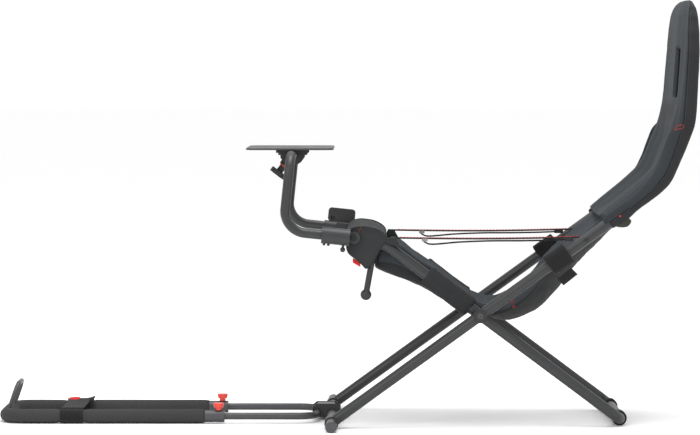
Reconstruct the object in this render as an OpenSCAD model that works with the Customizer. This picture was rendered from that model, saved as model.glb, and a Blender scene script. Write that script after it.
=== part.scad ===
// Folding racing cockpit: a seat frame and a wheel frame cross at one pivot, wheel arms carry a
// tilting deck, and a padded pedal frame slides on two rods hinged to the front floor tube.
// +X points to the seat back, -X to the pedals, +Z up. The origin is on the floor, in the middle.

/* [Frame tubes] */
// Outside diameter of the seat frame and wheel frame tubes
tube_d = 25; // [22:0.5:28]
// Wall of the frame tubes
tube_wall = 1.5; // [1.2:0.1:2.5]
// Gap between a seat rail and the wheel rail beside it
rail_gap = 2; // [1.8:0.1:4]
// Diameter of the bolt that joins the two frames
pivot_bolt_d = 10; // [8:1:12]

/* [Seat frame] */
// Distance from the middle to a seat rail's axis
seat_rail_y = 197; // [190:1:235]
// Place of the front floor tube's axis along X
floor_tube_x = -31; // [-40:1:-25]
// Length of the front floor tube with its caps
floor_tube_len = 580; // [500:1:660]
// Slope of a seat rail's lower part
seat_pitch = 35.9; // [34:0.1:38]
// Seat rail from the floor tube to the pivot
rail_low = 418; // [400:1:440]
// Seat rail from the pivot to the first bend
rail_high = 506; // [490:1:520]
// Slope of the rail behind the lower back
back_pitch = 66.9; // [65:0.1:68]
// Rail length behind the lower back
back_len = 160.5; // [150:0.5:170]
// Slope of the rail behind the head
head_pitch = 88; // [87:0.5:89]
// Centre line radius of the seat rail bends
rail_bend_r = 140; // [110:5:160]
// Height at which the head hoop meets the rails
hoop_joint_z = 800; // [790:1:810]
// Height of the head hoop's top tube
hoop_z = 953; // [940:1:955]
// How far the head hoop's top corners stand in from the seat rails
hoop_inset = 57; // [47:1:77]

/* [Wheel frame] */
// Slope of a wheel rail
wheel_pitch = 36.7; // [35:0.1:38]
// Wheel rail from the pivot up to its front bend
wheel_rail_up = 271; // [255:1:280]
// Slope of the wheel rail in front of the bend
front_pitch = 12; // [8:1:16]
// Wheel rail from the front bend to the arm hinge
front_len = 72; // [66:1:76]
// Radius of the rubber foot rings on the rear floor bar
foot_ring_r = 17; // [15.5:0.5:19]
// Width of a foot ring
foot_ring_w = 26; // [18:1:32]

/* [Wheel arms] */
// Outside diameter of the arm tubes
arm_d = 22; // [20:0.5:24]
// Distance from a wheel rail's axis out to the arm's axis beside it
arm_out = 35; // [34:1:45]
// Slope of the arm's leg, and lean of its upright
arm_pitch = 6; // [3:0.5:8]
// Leg from the arm hinge to the corner
arm_leg = 162; // [155:1:175]
// Upright from the corner to the deck's tilt axis
arm_upright = 170.5; // [160:0.5:190]
// Radius of the bend between leg and upright
arm_bend_r = 50; // [40:1:60]
// Travel of the arms in their sleeves
arm_travel = 35; // [20:1:38]
// Outside diameter of the left sleeve, which holds the lock
lock_sleeve_d = 38; // [36:1:39]
// Outside diameter of the right sleeve
plain_sleeve_d = 28; // [27:1:30]
// Length of a sleeve
sleeve_len = 64; // [58:1:68]

/* [Wheel deck] */
// Depth of the deck plate along X
deck_l = 201; // [170:1:220]
// Width of the deck plate
deck_w = 300; // [260:1:320]
// Thickness of the deck plate
deck_t = 4; // [3:0.5:6]
// Mounting hole spacing along X
deck_hole_x = 120; // [100:1:130]
// Mounting hole spacing across
deck_hole_y = 200; // [160:1:220]
// Diameter of the mounting holes
deck_hole_d = 6.4; // [5.4:0.1:8.4]
// Diameter of the tilt lock knob
knob_d = 40; // [32:1:46]

/* [Pedal frame] */
// Distance from the middle to a pedal tube's axis
pedal_y = 99; // [92:1:105]
// Front of the pedal frame's foam
pedal_front_x = -804; // [-820:1:-780]
// Diameter of the foam grips
foam_d = 33; // [30:0.5:33]
// Diameter of the pedal frame's tube
pedal_tube_d = 22; // [21:0.5:24]
// Diameter of the slide rods
rod_d = 16; // [14:0.5:17]
// Rod length held in each pedal tube at rest
rod_overlap = 150; // [140:1:180]
// Diameter of the clamp collars
collar_d = 28; // [26:0.5:30]
// Length of a clamp collar
collar_len = 45; // [38:1:48]
// Height of the pedal stop loop's top above the floor
stop_loop_z = 92; // [80:1:100]
// Width of the strap over the pedal frame
pedal_strap_w = 52; // [40:1:56]

/* [Seat cover] */
// Gap between the sling's edge and a wheel rail
sling_gap = 11.5; // [10.5:0.5:22]
// Thickness of the sling's padding
sling_t = 26; // [20:1:30]
// Thickness of the side wings beside the hips
wing_t = 17; // [12:1:22]
// How far the back stands out beyond the seat rails' axes
back_over = 18; // [15:1:27]
// Height of the top of the head rest
seat_top_z = 980; // [976:1:990]
// Diameter of the cover's loops round the wheel rails
rail_loop_d = 48; // [40:1:52]
// Diameter of the hook-and-loop cuffs on the seat rails
cuff_d = 54; // [42:1:58]

/* [Tension straps] */
// Width of the webbing
strap_w = 20; // [16:1:20]
// Thickness of the webbing
strap_t = 2; // [1.6:0.1:3]

/* [Fits] */
// Radial clearance of a pin or rod that turns or slides
run_fit = 0.05; // [0.02:0.01:0.1]
// Clearance round a tube that passes through padding
pad_gap = 0.5; // [0.4:0.1:1.5]

/* [Hidden] */

frame_grey = "#3c3c3f";
steel_grey = "#8a8b8e";
fabric_grey = "#333336";
webbing_black = "#1d1d1f";
accent_red = "#c8202c";
wheel_rail_y = seat_rail_y - tube_d - rail_gap;
arm_y = wheel_rail_y + arm_out;
hoop_half_w = seat_rail_y - hoop_inset;
sling_half_w = wheel_rail_y - tube_d / 2 - sling_gap;
back_half_w = seat_rail_y + back_over;
lap = 1;
swell = 0.05;
far_y = 400;

function dir2(pitch) = [cos(pitch), sin(pitch)];
function at(p, y) = [p[0], y, p[1]];
function unit(v) = v / norm(v);
function bend_angle(u, v) = acos(u * v);
function bend_back(u, v, r) = r * tan(bend_angle(u, v) / 2);

floor_p = [floor_tube_x, tube_d / 2 + 0.5];
pivot_p = floor_p + rail_low * dir2(seat_pitch);
knee_p = pivot_p + rail_high * dir2(seat_pitch);
back_p = knee_p + back_len * dir2(back_pitch);
head_dir = dir2(head_pitch);
function head_at(z) = back_p + head_dir * (z - back_p[1]) / head_dir[1];
rail_start = floor_p + 3 * dir2(seat_pitch);
seat_side = [rail_start, knee_p, back_p, head_at(hoop_joint_z)];
seat_radii = [0, rail_bend_r, rail_bend_r, 0];
strap_bolt_p = pivot_p + 296.5 * dir2(seat_pitch);

rear_reach = (pivot_p[1] - foot_ring_r) / sin(wheel_pitch);
rear_p = pivot_p + rear_reach * dir2(-wheel_pitch);
rear_joint_p = rear_p - 60 * dir2(-wheel_pitch);
front_knee_p = pivot_p + wheel_rail_up * dir2(180 - wheel_pitch);
hinge_p = front_knee_p + front_len * dir2(180 - front_pitch);
wheel_side = [rear_joint_p, front_knee_p, hinge_p + 3 * dir2(-front_pitch)];
wheel_radii = [0, 90, 0];

leg_dir = dir2(180 - arm_pitch);
up_dir = dir2(90 - arm_pitch);
function arm_at(s, h) = hinge_p + s * leg_dir + h * up_dir;
corner_p = arm_at(arm_leg, 0);
tilt_p = corner_p + arm_upright * up_dir;
arm_joint_p = tilt_p - 60 * up_dir;
sleeve_start = 9;
leg_start = 10;
pin_s = 22.4;
pin_d = 6;
lug_in = wheel_rail_y + tube_d / 2 + 2.3;
lug_out = arm_y - 12;
bolt_head_y = lug_out + 0.3;

deck_z = tilt_p[1] + arm_d / 2 + 1.2;
deck_x = tilt_p[0] - 4;
knob_dir = unit([-34.3, -45.3]);
knob_pitch = atan2(knob_dir[1], knob_dir[0]);

foam_z = foam_d / 2 + 0.3;
pedal_bend_r = 40;
pedal_bar_x = pedal_front_x + foam_d / 2;
pedal_split_x = pedal_front_x + 104;
collar_end_x = -279.5;
foam_end_x = collar_end_x - collar_len;
rod_end_x = collar_end_x - rod_overlap;
rod_bar_x = -66;
strap_x = pedal_front_x + 171;
knob_x = -293;

webbing_y = wheel_rail_y;
strap_pin_p = front_knee_p + [18, tube_d / 2 - 3];

module frame_to(x, y, z, o) {
    multmatrix([[x[0], y[0], z[0], o[0]], [x[1], y[1], z[1], o[1]], [x[2], y[2], z[2], o[2]], [0, 0, 0, 1]])
        children();
}

module ring(d, wall) {
    difference() {
        circle(d = d, $fn = 64);
        if (wall > 0) circle(d = d - 2 * wall, $fn = 64);
    }
}

module straight(p, q, d, wall) {
    w = unit(q - p);
    side = abs(w[1]) < 0.9 ? unit(cross([0, 1, 0], w)) : unit([1, 0, 0] - w[0] * w);
    frame_to(side, cross(w, side), w, p)
        linear_extrude(norm(q - p))
            ring(d, wall);
}

// A bent tube through corner points: the bends are a hair fuller than the straights they lap over.
module pipe(points, radii, d, wall) {
    last = len(points) - 1;
    function dir(i) = unit(points[i + 1] - points[i]);
    function back(i) = i == 0 || i == last ? 0 : bend_back(dir(i - 1), dir(i), radii[i]) - lap;
    union() {
        for (i = [0:last - 1])
            straight(points[i] + dir(i) * back(i), points[i + 1] - dir(i) * back(i + 1), d, wall);
        for (i = [1:1:last - 1]) {
            u = dir(i - 1);
            v = dir(i);
            n = unit(v - (v * u) * u);
            frame_to(-n, u, cross(-n, u), points[i] - u * (back(i) + lap) + n * radii[i])
                rotate_extrude(angle = bend_angle(u, v), $fn = 96)
                    translate([radii[i], 0])
                        ring(d + 2 * swell, wall > 0 ? wall + 2 * swell : 0);
        }
    }
}

// A cylinder along Y through the side-view point p.
module across(p, y0, y1, d) {
    translate([p[0], y1, p[1]])
        rotate([90, 0, 0])
            cylinder(h = y1 - y0, d = d, $fn = 64);
}

// A side-view outline, extruded along Y.
module slab(points, y0, y1) {
    translate([0, y1, 0])
        rotate([90, 0, 0])
            linear_extrude(y1 - y0)
                polygon(points);
}

module both_sides() {
    for (side = [-1, 1])
        scale_side(side) children();
}

module scale_side(side) {
    if (side > 0) children();
    else mirror([0, 1, 0]) children();
}

// A round bar along the arm's upright direction, in the arm's plane, from h0 to h1 at leg place s.
module arm_bar(s, h0, h1, y, d) {
    straight(at(arm_at(s, h0), y), at(arm_at(s, h1), y), d, 0);
}

function arc_corner(cx, cy, r, a0) = [for (a = [a0:15:a0 + 90]) [cx + r * cos(a), cy + r * sin(a)]];
function round_rect(l, w, r) = concat(
    arc_corner(l / 2 - r, w / 2 - r, r, 0), arc_corner(r - l / 2, w / 2 - r, r, 90),
    arc_corner(r - l / 2, r - w / 2, r, 180), arc_corner(l / 2 - r, r - w / 2, r, 270));

// ---- Seat frame ----

module seat_rail(side) {
    color(frame_grey)
        difference() {
            pipe([for (p = seat_side) at(p, side * seat_rail_y)], seat_radii, tube_d, tube_wall);
            across(floor_p, -far_y, far_y, tube_d);
            across(pivot_p, -far_y, far_y, pivot_bolt_d);
            across(strap_bolt_p, -far_y, far_y, 8);
        }
}

hoop_points = [at(head_at(hoop_joint_z), -seat_rail_y), at(head_at(hoop_joint_z + 22), -seat_rail_y),
    at(head_at(hoop_z), -hoop_half_w), at(head_at(hoop_z), hoop_half_w),
    at(head_at(hoop_joint_z + 22), seat_rail_y), at(head_at(hoop_joint_z), seat_rail_y)];
hoop_radii = [0, 80, 60, 60, 80, 0];

module head_hoop() {
    color(frame_grey)
        pipe(hoop_points, hoop_radii, tube_d, tube_wall);
}

cap_t = 6;

module front_floor_tube() {
    color(frame_grey)
        difference() {
            across(floor_p, cap_t - floor_tube_len / 2, floor_tube_len / 2 - cap_t, tube_d);
            across(floor_p, -far_y, far_y, tube_d - 2 * tube_wall);
        }
}

// Flat disc caps with a plug inside the tube.
module floor_tube_caps() {
    color(steel_grey)
        both_sides() {
            across(floor_p, floor_tube_len / 2 - cap_t, floor_tube_len / 2, tube_d + 1);
            across(floor_p, floor_tube_len / 2 - cap_t - 14, floor_tube_len / 2 - cap_t + 1,
                tube_d - 2 * tube_wall);
        }
}

// Half rings over the floor tube, welded where each seat rail meets it.
module rail_foot_clamps() {
    color(frame_grey)
        both_sides()
            difference() {
                across(floor_p, seat_rail_y - 20, seat_rail_y + 20, tube_d + 7);
                across(floor_p, -far_y, far_y, tube_d);
                pipe([for (p = seat_side) at(p, seat_rail_y)], seat_radii, tube_d, 0);
                translate([floor_p[0] - 50, 0, -50])
                    cube([100, far_y, 52.5]);
            }
}

rail_out = seat_rail_y + tube_d / 2;
wheel_in = wheel_rail_y - tube_d / 2;

// Cap, shank and nut, with the cap outside the seat rail.
module pivot_bolts() {
    color(webbing_black)
        both_sides() {
            across(pivot_p, rail_out, rail_out + 4, 32);
            across(pivot_p, rail_out + 3.5, rail_out + 8, 24);
            across(pivot_p, wheel_in - 9, rail_out + 1, pivot_bolt_d);
            translate([pivot_p[0], wheel_in - 0.3, pivot_p[1]])
                rotate([90, 0, 0])
                    cylinder(h = 7, d = 19, $fn = 6);
        }
}

module pivot_washers() {
    color(steel_grey)
        both_sides()
            difference() {
                across(pivot_p, rail_out - tube_d - rail_gap + 0.3, rail_out - tube_d, 21);
                across(pivot_p, -far_y, far_y, pivot_bolt_d);
            }
}

// Bolts through the seat rails, with an inner pin that carries the webbing's loop.
module strap_bolts() {
    color(steel_grey)
        both_sides() {
            across(strap_bolt_p, rail_out, rail_out + 4, 11);
            across(strap_bolt_p, webbing_y - strap_w / 2 - 4, rail_out + 1, 8);
            across(strap_bolt_p, webbing_y - strap_w / 2 - 4, webbing_y - strap_w / 2 - 1.2, 14);
        }
}

// ---- Seat cover, carried by the seat frame ----

// Side view of the front faces, from the hip up, and of the seam behind them.
bolster_front = [[585, 485], [611, 504], [643, 528], [674, 553], [698, 577], [714, 603],
    [731, 650], [741, 677], [751, 703], [757, 735]];
seam_line = [[773, 735], [765, 681], [751, 635], [733, 590], [704, 556], [670, 526], [620, 492]];
wing_shape = [[430, 366], [574, 472], [585, 485], [622, 497], [560, 436], [496, 352], [470, 346]];
head_front = [[757, 736], [751, 760], [748, 794], [750, 840], [752, 885], [756, 930], [764, 960],
    [773, seat_top_z]];
head_seam = [[779, seat_top_z], [779, 840], [774, 749], [773, 736]];
rear_line = [[620, 491], [644, 474], [665, 497], [695, 520], [723, 543], [742, 566], [763, 611],
    [781, 656], [797, 702], [801, 794], [804, 862], [804.5, 930], [801, 958], [790, seat_top_z - 2]];
rear_seam = [[780, seat_top_z - 2], [780, 840], [775, 749], [766, 680], [752, 634], [734, 589],
    [705, 555], [671, 525]];
back_outline = [[-back_half_w, 440], [-back_half_w, 800], [12 - back_half_w, 850],
    [45 - back_half_w, 950], [75 - back_half_w, seat_top_z], [back_half_w - 75, seat_top_z],
    [back_half_w - 45, 950], [back_half_w - 12, 850], [back_half_w, 800], [back_half_w, 440]];

seat_loop_half = [at(pivot_p, seat_rail_y), at(knee_p, seat_rail_y), at(back_p, seat_rail_y),
    at(head_at(hoop_joint_z + 22), seat_rail_y), at(head_at(hoop_z), hoop_half_w)];
seat_loop = concat([for (p = seat_loop_half) [p[0], -p[1], p[2]]],
    [for (i = [len(seat_loop_half) - 1:-1:0]) seat_loop_half[i]]);
seat_loop_radii = [0, rail_bend_r, rail_bend_r, 80, 60, 60, 80, rail_bend_r, rail_bend_r, 0];

module seat_tube_room() {
    pipe(seat_loop, seat_loop_radii, tube_d + 2 * pad_gap, 0);
}

wing_in = sling_half_w - wing_t;

module side_bolster(side) {
    color(fabric_grey)
        difference() {
            union() {
                scale_side(side) slab(concat(bolster_front, seam_line), wing_in, back_half_w);
                scale_side(side) slab(wing_shape, wing_in, sling_half_w);
            }
            pipe([for (p = seat_side) at(p, side * seat_rail_y)], seat_radii, tube_d + 2 * pad_gap, 0);
        }
}

// The padded back between the bolsters.
module seat_back_pad() {
    color(fabric_grey)
        slab(concat([[500, 335], [476, 345], [554, 440], [608, 498], [660, 536], [695, 564],
            [724, 597], [743, 639], [757, 684], [764, 735]], [for (p = seam_line) p - [0.5, 0]],
            [[566, 424]]),
            0.4 - wing_in, wing_in - 0.4);
}

module back_front_view(x0, x1) {
    translate([x0, 0, 0])
        rotate([90, 0, 90])
            linear_extrude(x1 - x0)
                polygon(back_outline);
}

module harness_slots() {
    for (side = [-1, 1])
        translate([700, side * 127 - 22, 748])
            cube([120, 44, 118]);
}

module head_rest() {
    color(fabric_grey)
        difference() {
            intersection() {
                slab(concat(head_front, head_seam), -back_half_w, back_half_w);
                back_front_view(700, 800);
            }
            seat_tube_room();
            harness_slots();
        }
}

module rear_cover() {
    color(webbing_black)
        difference() {
            intersection() {
                slab(concat(rear_line, rear_seam), -back_half_w, back_half_w);
                back_front_view(600, 820);
            }
            seat_tube_room();
            harness_slots();
        }
}

// Hook-and-loop cuffs that tie the cover to the seat rails.
module rail_cuffs() {
    color(fabric_grey)
        both_sides()
            difference() {
                straight(at(pivot_p + 192 * dir2(seat_pitch), seat_rail_y),
                    at(pivot_p + 248 * dir2(seat_pitch), seat_rail_y), cuff_d, 0);
                straight(at(pivot_p, seat_rail_y), at(knee_p, seat_rail_y), tube_d + 2 * pad_gap, 0);
                translate([300, 0, 200])
                    cube([300, wheel_rail_y + tube_d / 2 + 1, 400]);
            }
}

// Flaps that close the rear cover under the rails.
module cover_flaps() {
    color(fabric_grey)
        both_sides()
            slab([[612, 461], [628, 471], [641, 473.4], [647, 473.4], [653, 472], [654, 464],
                [640, 459], [616, 457.5]],
                seat_rail_y - 2, seat_rail_y + 2);
}

module flap_snaps() {
    color(accent_red)
        both_sides()
            across(pivot_p + 366 * dir2(seat_pitch), rail_out, rail_out + 2.5, 8);
}

// ---- Wheel frame ----

module wheel_rail(side) {
    color(frame_grey)
        difference() {
            pipe([for (p = wheel_side) at(p, side * wheel_rail_y)], wheel_radii, tube_d, tube_wall);
            across(hinge_p, -far_y, far_y, tube_d);
            across(pivot_p, -far_y, far_y, pivot_bolt_d + 2 * run_fit);
        }
}

rear_bend_r = 32;

module rear_floor_bar() {
    color(frame_grey)
        pipe([at(rear_joint_p, -wheel_rail_y), at(rear_p, -wheel_rail_y), at(rear_p, wheel_rail_y),
            at(rear_joint_p, wheel_rail_y)], [0, rear_bend_r, rear_bend_r, 0], tube_d, tube_wall);
}

module foot_rings() {
    ring_in = wheel_rail_y - rear_bend_r - foot_ring_w - 1;
    color(webbing_black)
        both_sides()
            difference() {
                across(rear_p, ring_in, ring_in + foot_ring_w, 2 * foot_ring_r);
                across(rear_p, -far_y, far_y, tube_d);
            }
}

crossbar_half = wheel_rail_y + tube_d / 2;

module front_crossbar() {
    color(frame_grey)
        difference() {
            across(hinge_p, -crossbar_half, crossbar_half, tube_d);
            across(hinge_p, -far_y, far_y, tube_d - 2 * tube_wall);
        }
}

module crossbar_plugs() {
    color(steel_grey)
        both_sides()
            difference() {
                across(hinge_p, crossbar_half - 24, crossbar_half, tube_d - 2 * tube_wall);
                across(hinge_p, -far_y, far_y, 10);
            }
}

// Bolts screwed into the plugs: the arm sleeves turn on them.
module arm_hinge_bolts() {
    color(steel_grey)
        both_sides() {
            across(hinge_p, crossbar_half - 20, bolt_head_y + 1, 10);
            across(hinge_p, bolt_head_y, bolt_head_y + 5, 14);
        }
}

module wheel_tube_room() {
    for (side = [-1, 1])
        pipe([for (p = wheel_side) at(p, side * wheel_rail_y)], wheel_radii, tube_d + 2 * pad_gap, 0);
    across(hinge_p, -far_y, far_y, tube_d + 2 * pad_gap);
}

// The padded front edge, wrapped over the crossbar and the ends of both rails.
module front_roll() {
    color(fabric_grey)
        difference() {
            slab([[14, 459], [40, 463], [62, 460], [84, 453], [101, 441], [95, 426], [79, 404],
                [64, 381], [48, 363], [34, 381], [9, 397], [3, 410], [3, 440]],
                0.3 - lug_in, lug_in - 0.3);
            wheel_tube_room();
            lever_room();
        }
}

// Thigh padding, hung between the wheel rails behind the front roll.
module thigh_pad() {
    color(fabric_grey)
        slab([[82, 390], [186, 346], [318, 272], [318, 248], [186, 314], [70, 360]],
            -sling_half_w, sling_half_w);
}

// Loops of the cover round the wheel rails, flattened beside the seat rails.
module rail_loops() {
    low = pivot_p + 26 * dir2(180 - wheel_pitch);
    high = pivot_p + 152 * dir2(180 - wheel_pitch);
    color(fabric_grey)
        both_sides()
            difference() {
                straight(at(low, wheel_rail_y), at(high, wheel_rail_y), rail_loop_d, 0);
                straight(at(pivot_p, wheel_rail_y), at(front_knee_p, wheel_rail_y),
                    tube_d + 2 * pad_gap, 0);
                translate([100, wheel_rail_y + tube_d / 2 + 1.5, 200])
                    cube([300, 100, 300]);
                translate([100, 0, 200])
                    cube([300, sling_half_w + 3.2, 300]);
            }
}

// Clevis on top of each wheel rail, with the pin that takes the webbing's front loop.
module strap_hooks() {
    color(steel_grey)
        both_sides()
            difference() {
                union() {
                    for (y = [webbing_y - strap_w / 2 - 3.5, webbing_y + strap_w / 2 + 0.5])
                        slab([front_knee_p + [4, 2], strap_pin_p + [-7, 6], strap_pin_p + [7, 6],
                            strap_pin_p + [20, -18]], y, y + 3);
                    across(strap_pin_p, webbing_y - strap_w / 2 - 1, webbing_y + strap_w / 2 + 1, 6);
                }
                pipe([for (p = wheel_side) at(p, wheel_rail_y)], wheel_radii, tube_d, 0);
            }
}

strap_dir = unit(strap_bolt_p - strap_pin_p);
strap_normal = [-strap_dir[1], strap_dir[0]];
strap_len = norm(strap_bolt_p - strap_pin_p);
function on_strap(along, off) = strap_pin_p + along * strap_dir + off * strap_normal;

// A slotted plate round the webbing, from one place along the strap to another.
module strap_fitting(start, length, height) {
    difference() {
        slab([on_strap(start, -height / 2), on_strap(start + length, -height / 2),
            on_strap(start + length, height / 2), on_strap(start, height / 2)],
            webbing_y - strap_w / 2 - 4, webbing_y + strap_w / 2 + 4);
        slab([on_strap(0, -strap_t / 2 - 0.3), on_strap(strap_len, -strap_t / 2 - 0.3),
            on_strap(strap_len, strap_t / 2 + 0.3), on_strap(0, strap_t / 2 + 0.3)],
            webbing_y - strap_w / 2 - 0.4, webbing_y + strap_w / 2 + 0.4);
    }
}

module strap_sliders() {
    color(steel_grey)
        both_sides()
            strap_fitting(68, 12, 7);
}

module strap_buckles() {
    color(steel_grey)
        both_sides()
            strap_fitting(strap_len - 48, 20, 9);
}

// Webbing with a sewn loop at each end.
module strap(side) {
    color(webbing_black)
        scale_side(side)
            difference() {
                union() {
                    across(strap_pin_p, webbing_y - strap_w / 2, webbing_y + strap_w / 2, 6.4 + 2 * strap_t);
                    across(strap_bolt_p, webbing_y - strap_w / 2, webbing_y + strap_w / 2, 8.4 + 2 * strap_t);
                    slab([on_strap(0, -strap_t / 2), on_strap(strap_len, -strap_t / 2),
                        on_strap(strap_len, strap_t / 2), on_strap(0, strap_t / 2)],
                        webbing_y - strap_w / 2, webbing_y + strap_w / 2);
                }
                across(strap_pin_p, 0, far_y, 6.4);
                across(strap_bolt_p, 0, far_y, 8.4);
            }
}

// The part of the seat between the thighs and the back: it folds with the frames.
module seat_sling() {
    color(fabric_grey)
        slab([[320, 268], [372, 260], [410, 268], [445, 294], [474, 334], [494, 324], [455, 266],
            [410, 243], [372, 235], [320, 244]], -sling_half_w, sling_half_w);
}

module pull_tab() {
    color(accent_red)
        slab([[17, 385.5], [33, 377], [35, 374.5], [21, 376]], -176, -174);
}

// ---- Lock lever under the left wheel rail ----

lever_y = 1 - wheel_rail_y;
lever_p = [64, 397];
lever_end = [47.6, 303.8];

module lever_room() {
    translate([lever_p[0] - 26, lever_y - 12, 340])
        cube([44, 24, 76]);
}

module lock_lever() {
    color(webbing_black) {
        straight(at(lever_p, lever_y), at(lever_end, lever_y), 14, 0);
        translate(at(lever_end, lever_y))
            sphere(d = 25, $fn = 64);
        across(lever_p, lever_y - 9, lever_y + 9, 17);
    }
}

// ---- Arm carrier ----

module sleeve_axis_bar(s0, s1, d) {
    straight(at(arm_at(s0, 0), arm_y), at(arm_at(s1, 0), arm_y), d, 0);
}

// A sleeve with its hinge lug.
module arm_sleeve(side, sleeve_d, bore_d) {
    color(frame_grey)
        scale_side(side)
            difference() {
                union() {
                    sleeve_axis_bar(sleeve_start, sleeve_start + sleeve_len, sleeve_d);
                    across(hinge_p, lug_in, lug_out, 28);
                    slab([arm_at(0, -11), arm_at(44, -11), arm_at(44, 11), arm_at(0, 11)], lug_in, lug_out);
                }
                sleeve_axis_bar(sleeve_start - 0.5, sleeve_start + sleeve_len + 1, bore_d);
                across(hinge_p, -far_y, far_y, 10 + 2 * run_fit);
                if (side < 0) {
                    arm_bar(pin_s, -30, 0, arm_y, pin_d + 2 * run_fit);
                    for (s = [56, 66])
                        arm_bar(s, -30, -bush_d / 2 - 1.5, arm_y, 6);
                }
            }
}

bush_d = arm_d + 8;

module sleeve_bush() {
    color(webbing_black)
        mirror([0, 1, 0])
            difference() {
                sleeve_axis_bar(sleeve_start, sleeve_start + sleeve_len, bush_d);
                sleeve_axis_bar(sleeve_start - 1, sleeve_start + sleeve_len + 1, arm_d + 2 * run_fit);
                arm_bar(pin_s, -30, 0, arm_y, pin_d + 2 * run_fit);
            }
}

module sleeve_screws() {
    color(steel_grey)
        for (s = [56, 66])
            arm_bar(s, -23, -bush_d / 2 - 1.5, -arm_y, 6);
}

// Upright plate on the right sleeve, with a square hole for the tilt lock.
module tilt_lock_plate() {
    color(webbing_black)
        difference() {
            slab([for (p = round_rect(65, 33, 8)) arm_at(33.5 + p[0], 29.5 + p[1])], arm_y - 2, arm_y + 2);
            sleeve_axis_bar(0, 100, plain_sleeve_d);
            slab([arm_at(50, 17.5), arm_at(59, 17.5), arm_at(59, 25), arm_at(50, 25)], 0, far_y);
        }
}

// Spring pin through the left sleeve: it stands in the open slot of the arm's leg.
module pull_pin() {
    color(webbing_black) {
        arm_bar(pin_s, -28, -8, -arm_y, pin_d);
        translate(at(arm_at(pin_s, -28.4), -arm_y))
            sphere(r = 5.9, $fn = 48);
    }
}

// ---- Wheel arms ----

module arm(side) {
    color(frame_grey)
        difference() {
            pipe([at(arm_at(leg_start, 0), side * arm_y), at(corner_p, side * arm_y),
                at(arm_joint_p, side * arm_y)], [0, arm_bend_r, 0], arm_d, tube_wall);
            if (side < 0) {
                arm_bar(pin_s, -30, 0, -arm_y, pin_d + 0.4);
                slab([arm_at(leg_start - 2, -30), arm_at(pin_s, -30), arm_at(pin_s, 0),
                    arm_at(leg_start - 2, 0)], -arm_y - pin_d / 2 - 0.2, pin_d / 2 + 0.2 - arm_y);
            }
        }
}

module arm_crossbar() {
    color(frame_grey)
        pipe([at(arm_joint_p, -arm_y), at(tilt_p, -arm_y), at(tilt_p, arm_y), at(arm_joint_p, arm_y)],
            [0, 45, 45, 0], arm_d, tube_wall);
}

// ---- Wheel deck ----

module deck_plate() {
    color(frame_grey)
        difference() {
            translate([deck_x, 0, deck_z])
                linear_extrude(deck_t)
                    polygon(round_rect(deck_l, deck_w, 25));
            for (x = [-deck_hole_x, deck_hole_x] / 2, y = [-deck_hole_y, deck_hole_y] / 2)
                translate([deck_x + x, y, deck_z - 1])
                    cylinder(h = deck_t + 2, d = deck_hole_d, $fn = 48);
            for (y = [-55, 55])
                translate([deck_x, y, deck_z - 1])
                    linear_extrude(deck_t + 2)
                        polygon(round_rect(44, 8, 3.9));
        }
}

function on_knob(r) = tilt_p + r * knob_dir;

clamp_top = deck_z - tilt_p[1];
clamp_cheek = [[-38, clamp_top], [-38, 3], [-33, 3], [-33, -2], [-28, -2], [-28, -8], [-20, -19], [-8, -26],
    [8, -26], [20, -19], [28, -8], [28, -2], [34, -2], [34, 3], [38, 3], [38, clamp_top]];

// Half round clamp under the deck, with stepped cheeks and a boss for the lock screw.
module tilt_clamp() {
    color(webbing_black)
        difference() {
            union() {
                across(tilt_p, -32, 32, 50);
                for (y = [-38, 31])
                    slab([for (p = clamp_cheek) tilt_p + p], y, y + 7);
                straight(at(on_knob(20), 0), at(on_knob(34), 0), 24, 0);
            }
            translate([tilt_p[0] - 60, -60, deck_z])
                cube([120, 120, 60]);
            across(tilt_p, -far_y, far_y, arm_d + 2 * run_fit);
            straight(at(tilt_p, 0), at(on_knob(40), 0), 8 + 2 * run_fit, 0);
        }
}

module knob_washer() {
    color(accent_red)
        difference() {
            straight(at(on_knob(34), 0), at(on_knob(36.5), 0), 20, 0);
            straight(at(tilt_p, 0), at(on_knob(60), 0), 8 + 2 * run_fit, 0);
        }
}

// Lock screw with its round knob, scalloped round the rim.
module tilt_knob() {
    color(webbing_black)
        difference() {
            union() {
                straight(at(on_knob(arm_d / 2 + 1), 0), at(on_knob(52), 0), 8, 0);
                straight(at(on_knob(37), 0), at(on_knob(52), 0), 16, 0);
                straight(at(on_knob(51), 0), at(on_knob(62), 0), knob_d, 0);
            }
            frame_to([-knob_dir[1], 0, knob_dir[0]], [0, -1, 0], at(knob_dir, 0), at(on_knob(50), 0))
                for (i = [0:7])
                    rotate([0, 0, i * 45])
                        translate([knob_d / 2 + 2.5, 0, 0])
                            cylinder(h = 14, r = 4.5, $fn = 32);
        }
}

// ---- Pedal rods and their hook on the floor tube ----

rod_bend_r = 45;
rod_joint_x = rod_bar_x - 60;
rod_wall = 1.5;

module pedal_rods() {
    color(steel_grey)
        both_sides()
            straight([rod_end_x, pedal_y, foam_z], [rod_joint_x, pedal_y, foam_z], rod_d, rod_wall);
}

module pedal_rod_bend() {
    color(steel_grey)
        pipe([[rod_joint_x, -pedal_y, foam_z], [rod_bar_x, -pedal_y, foam_z],
            [rod_bar_x, pedal_y, foam_z], [rod_joint_x, pedal_y, foam_z]],
            [0, rod_bend_r, rod_bend_r, 0], rod_d, rod_wall);
}

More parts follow.
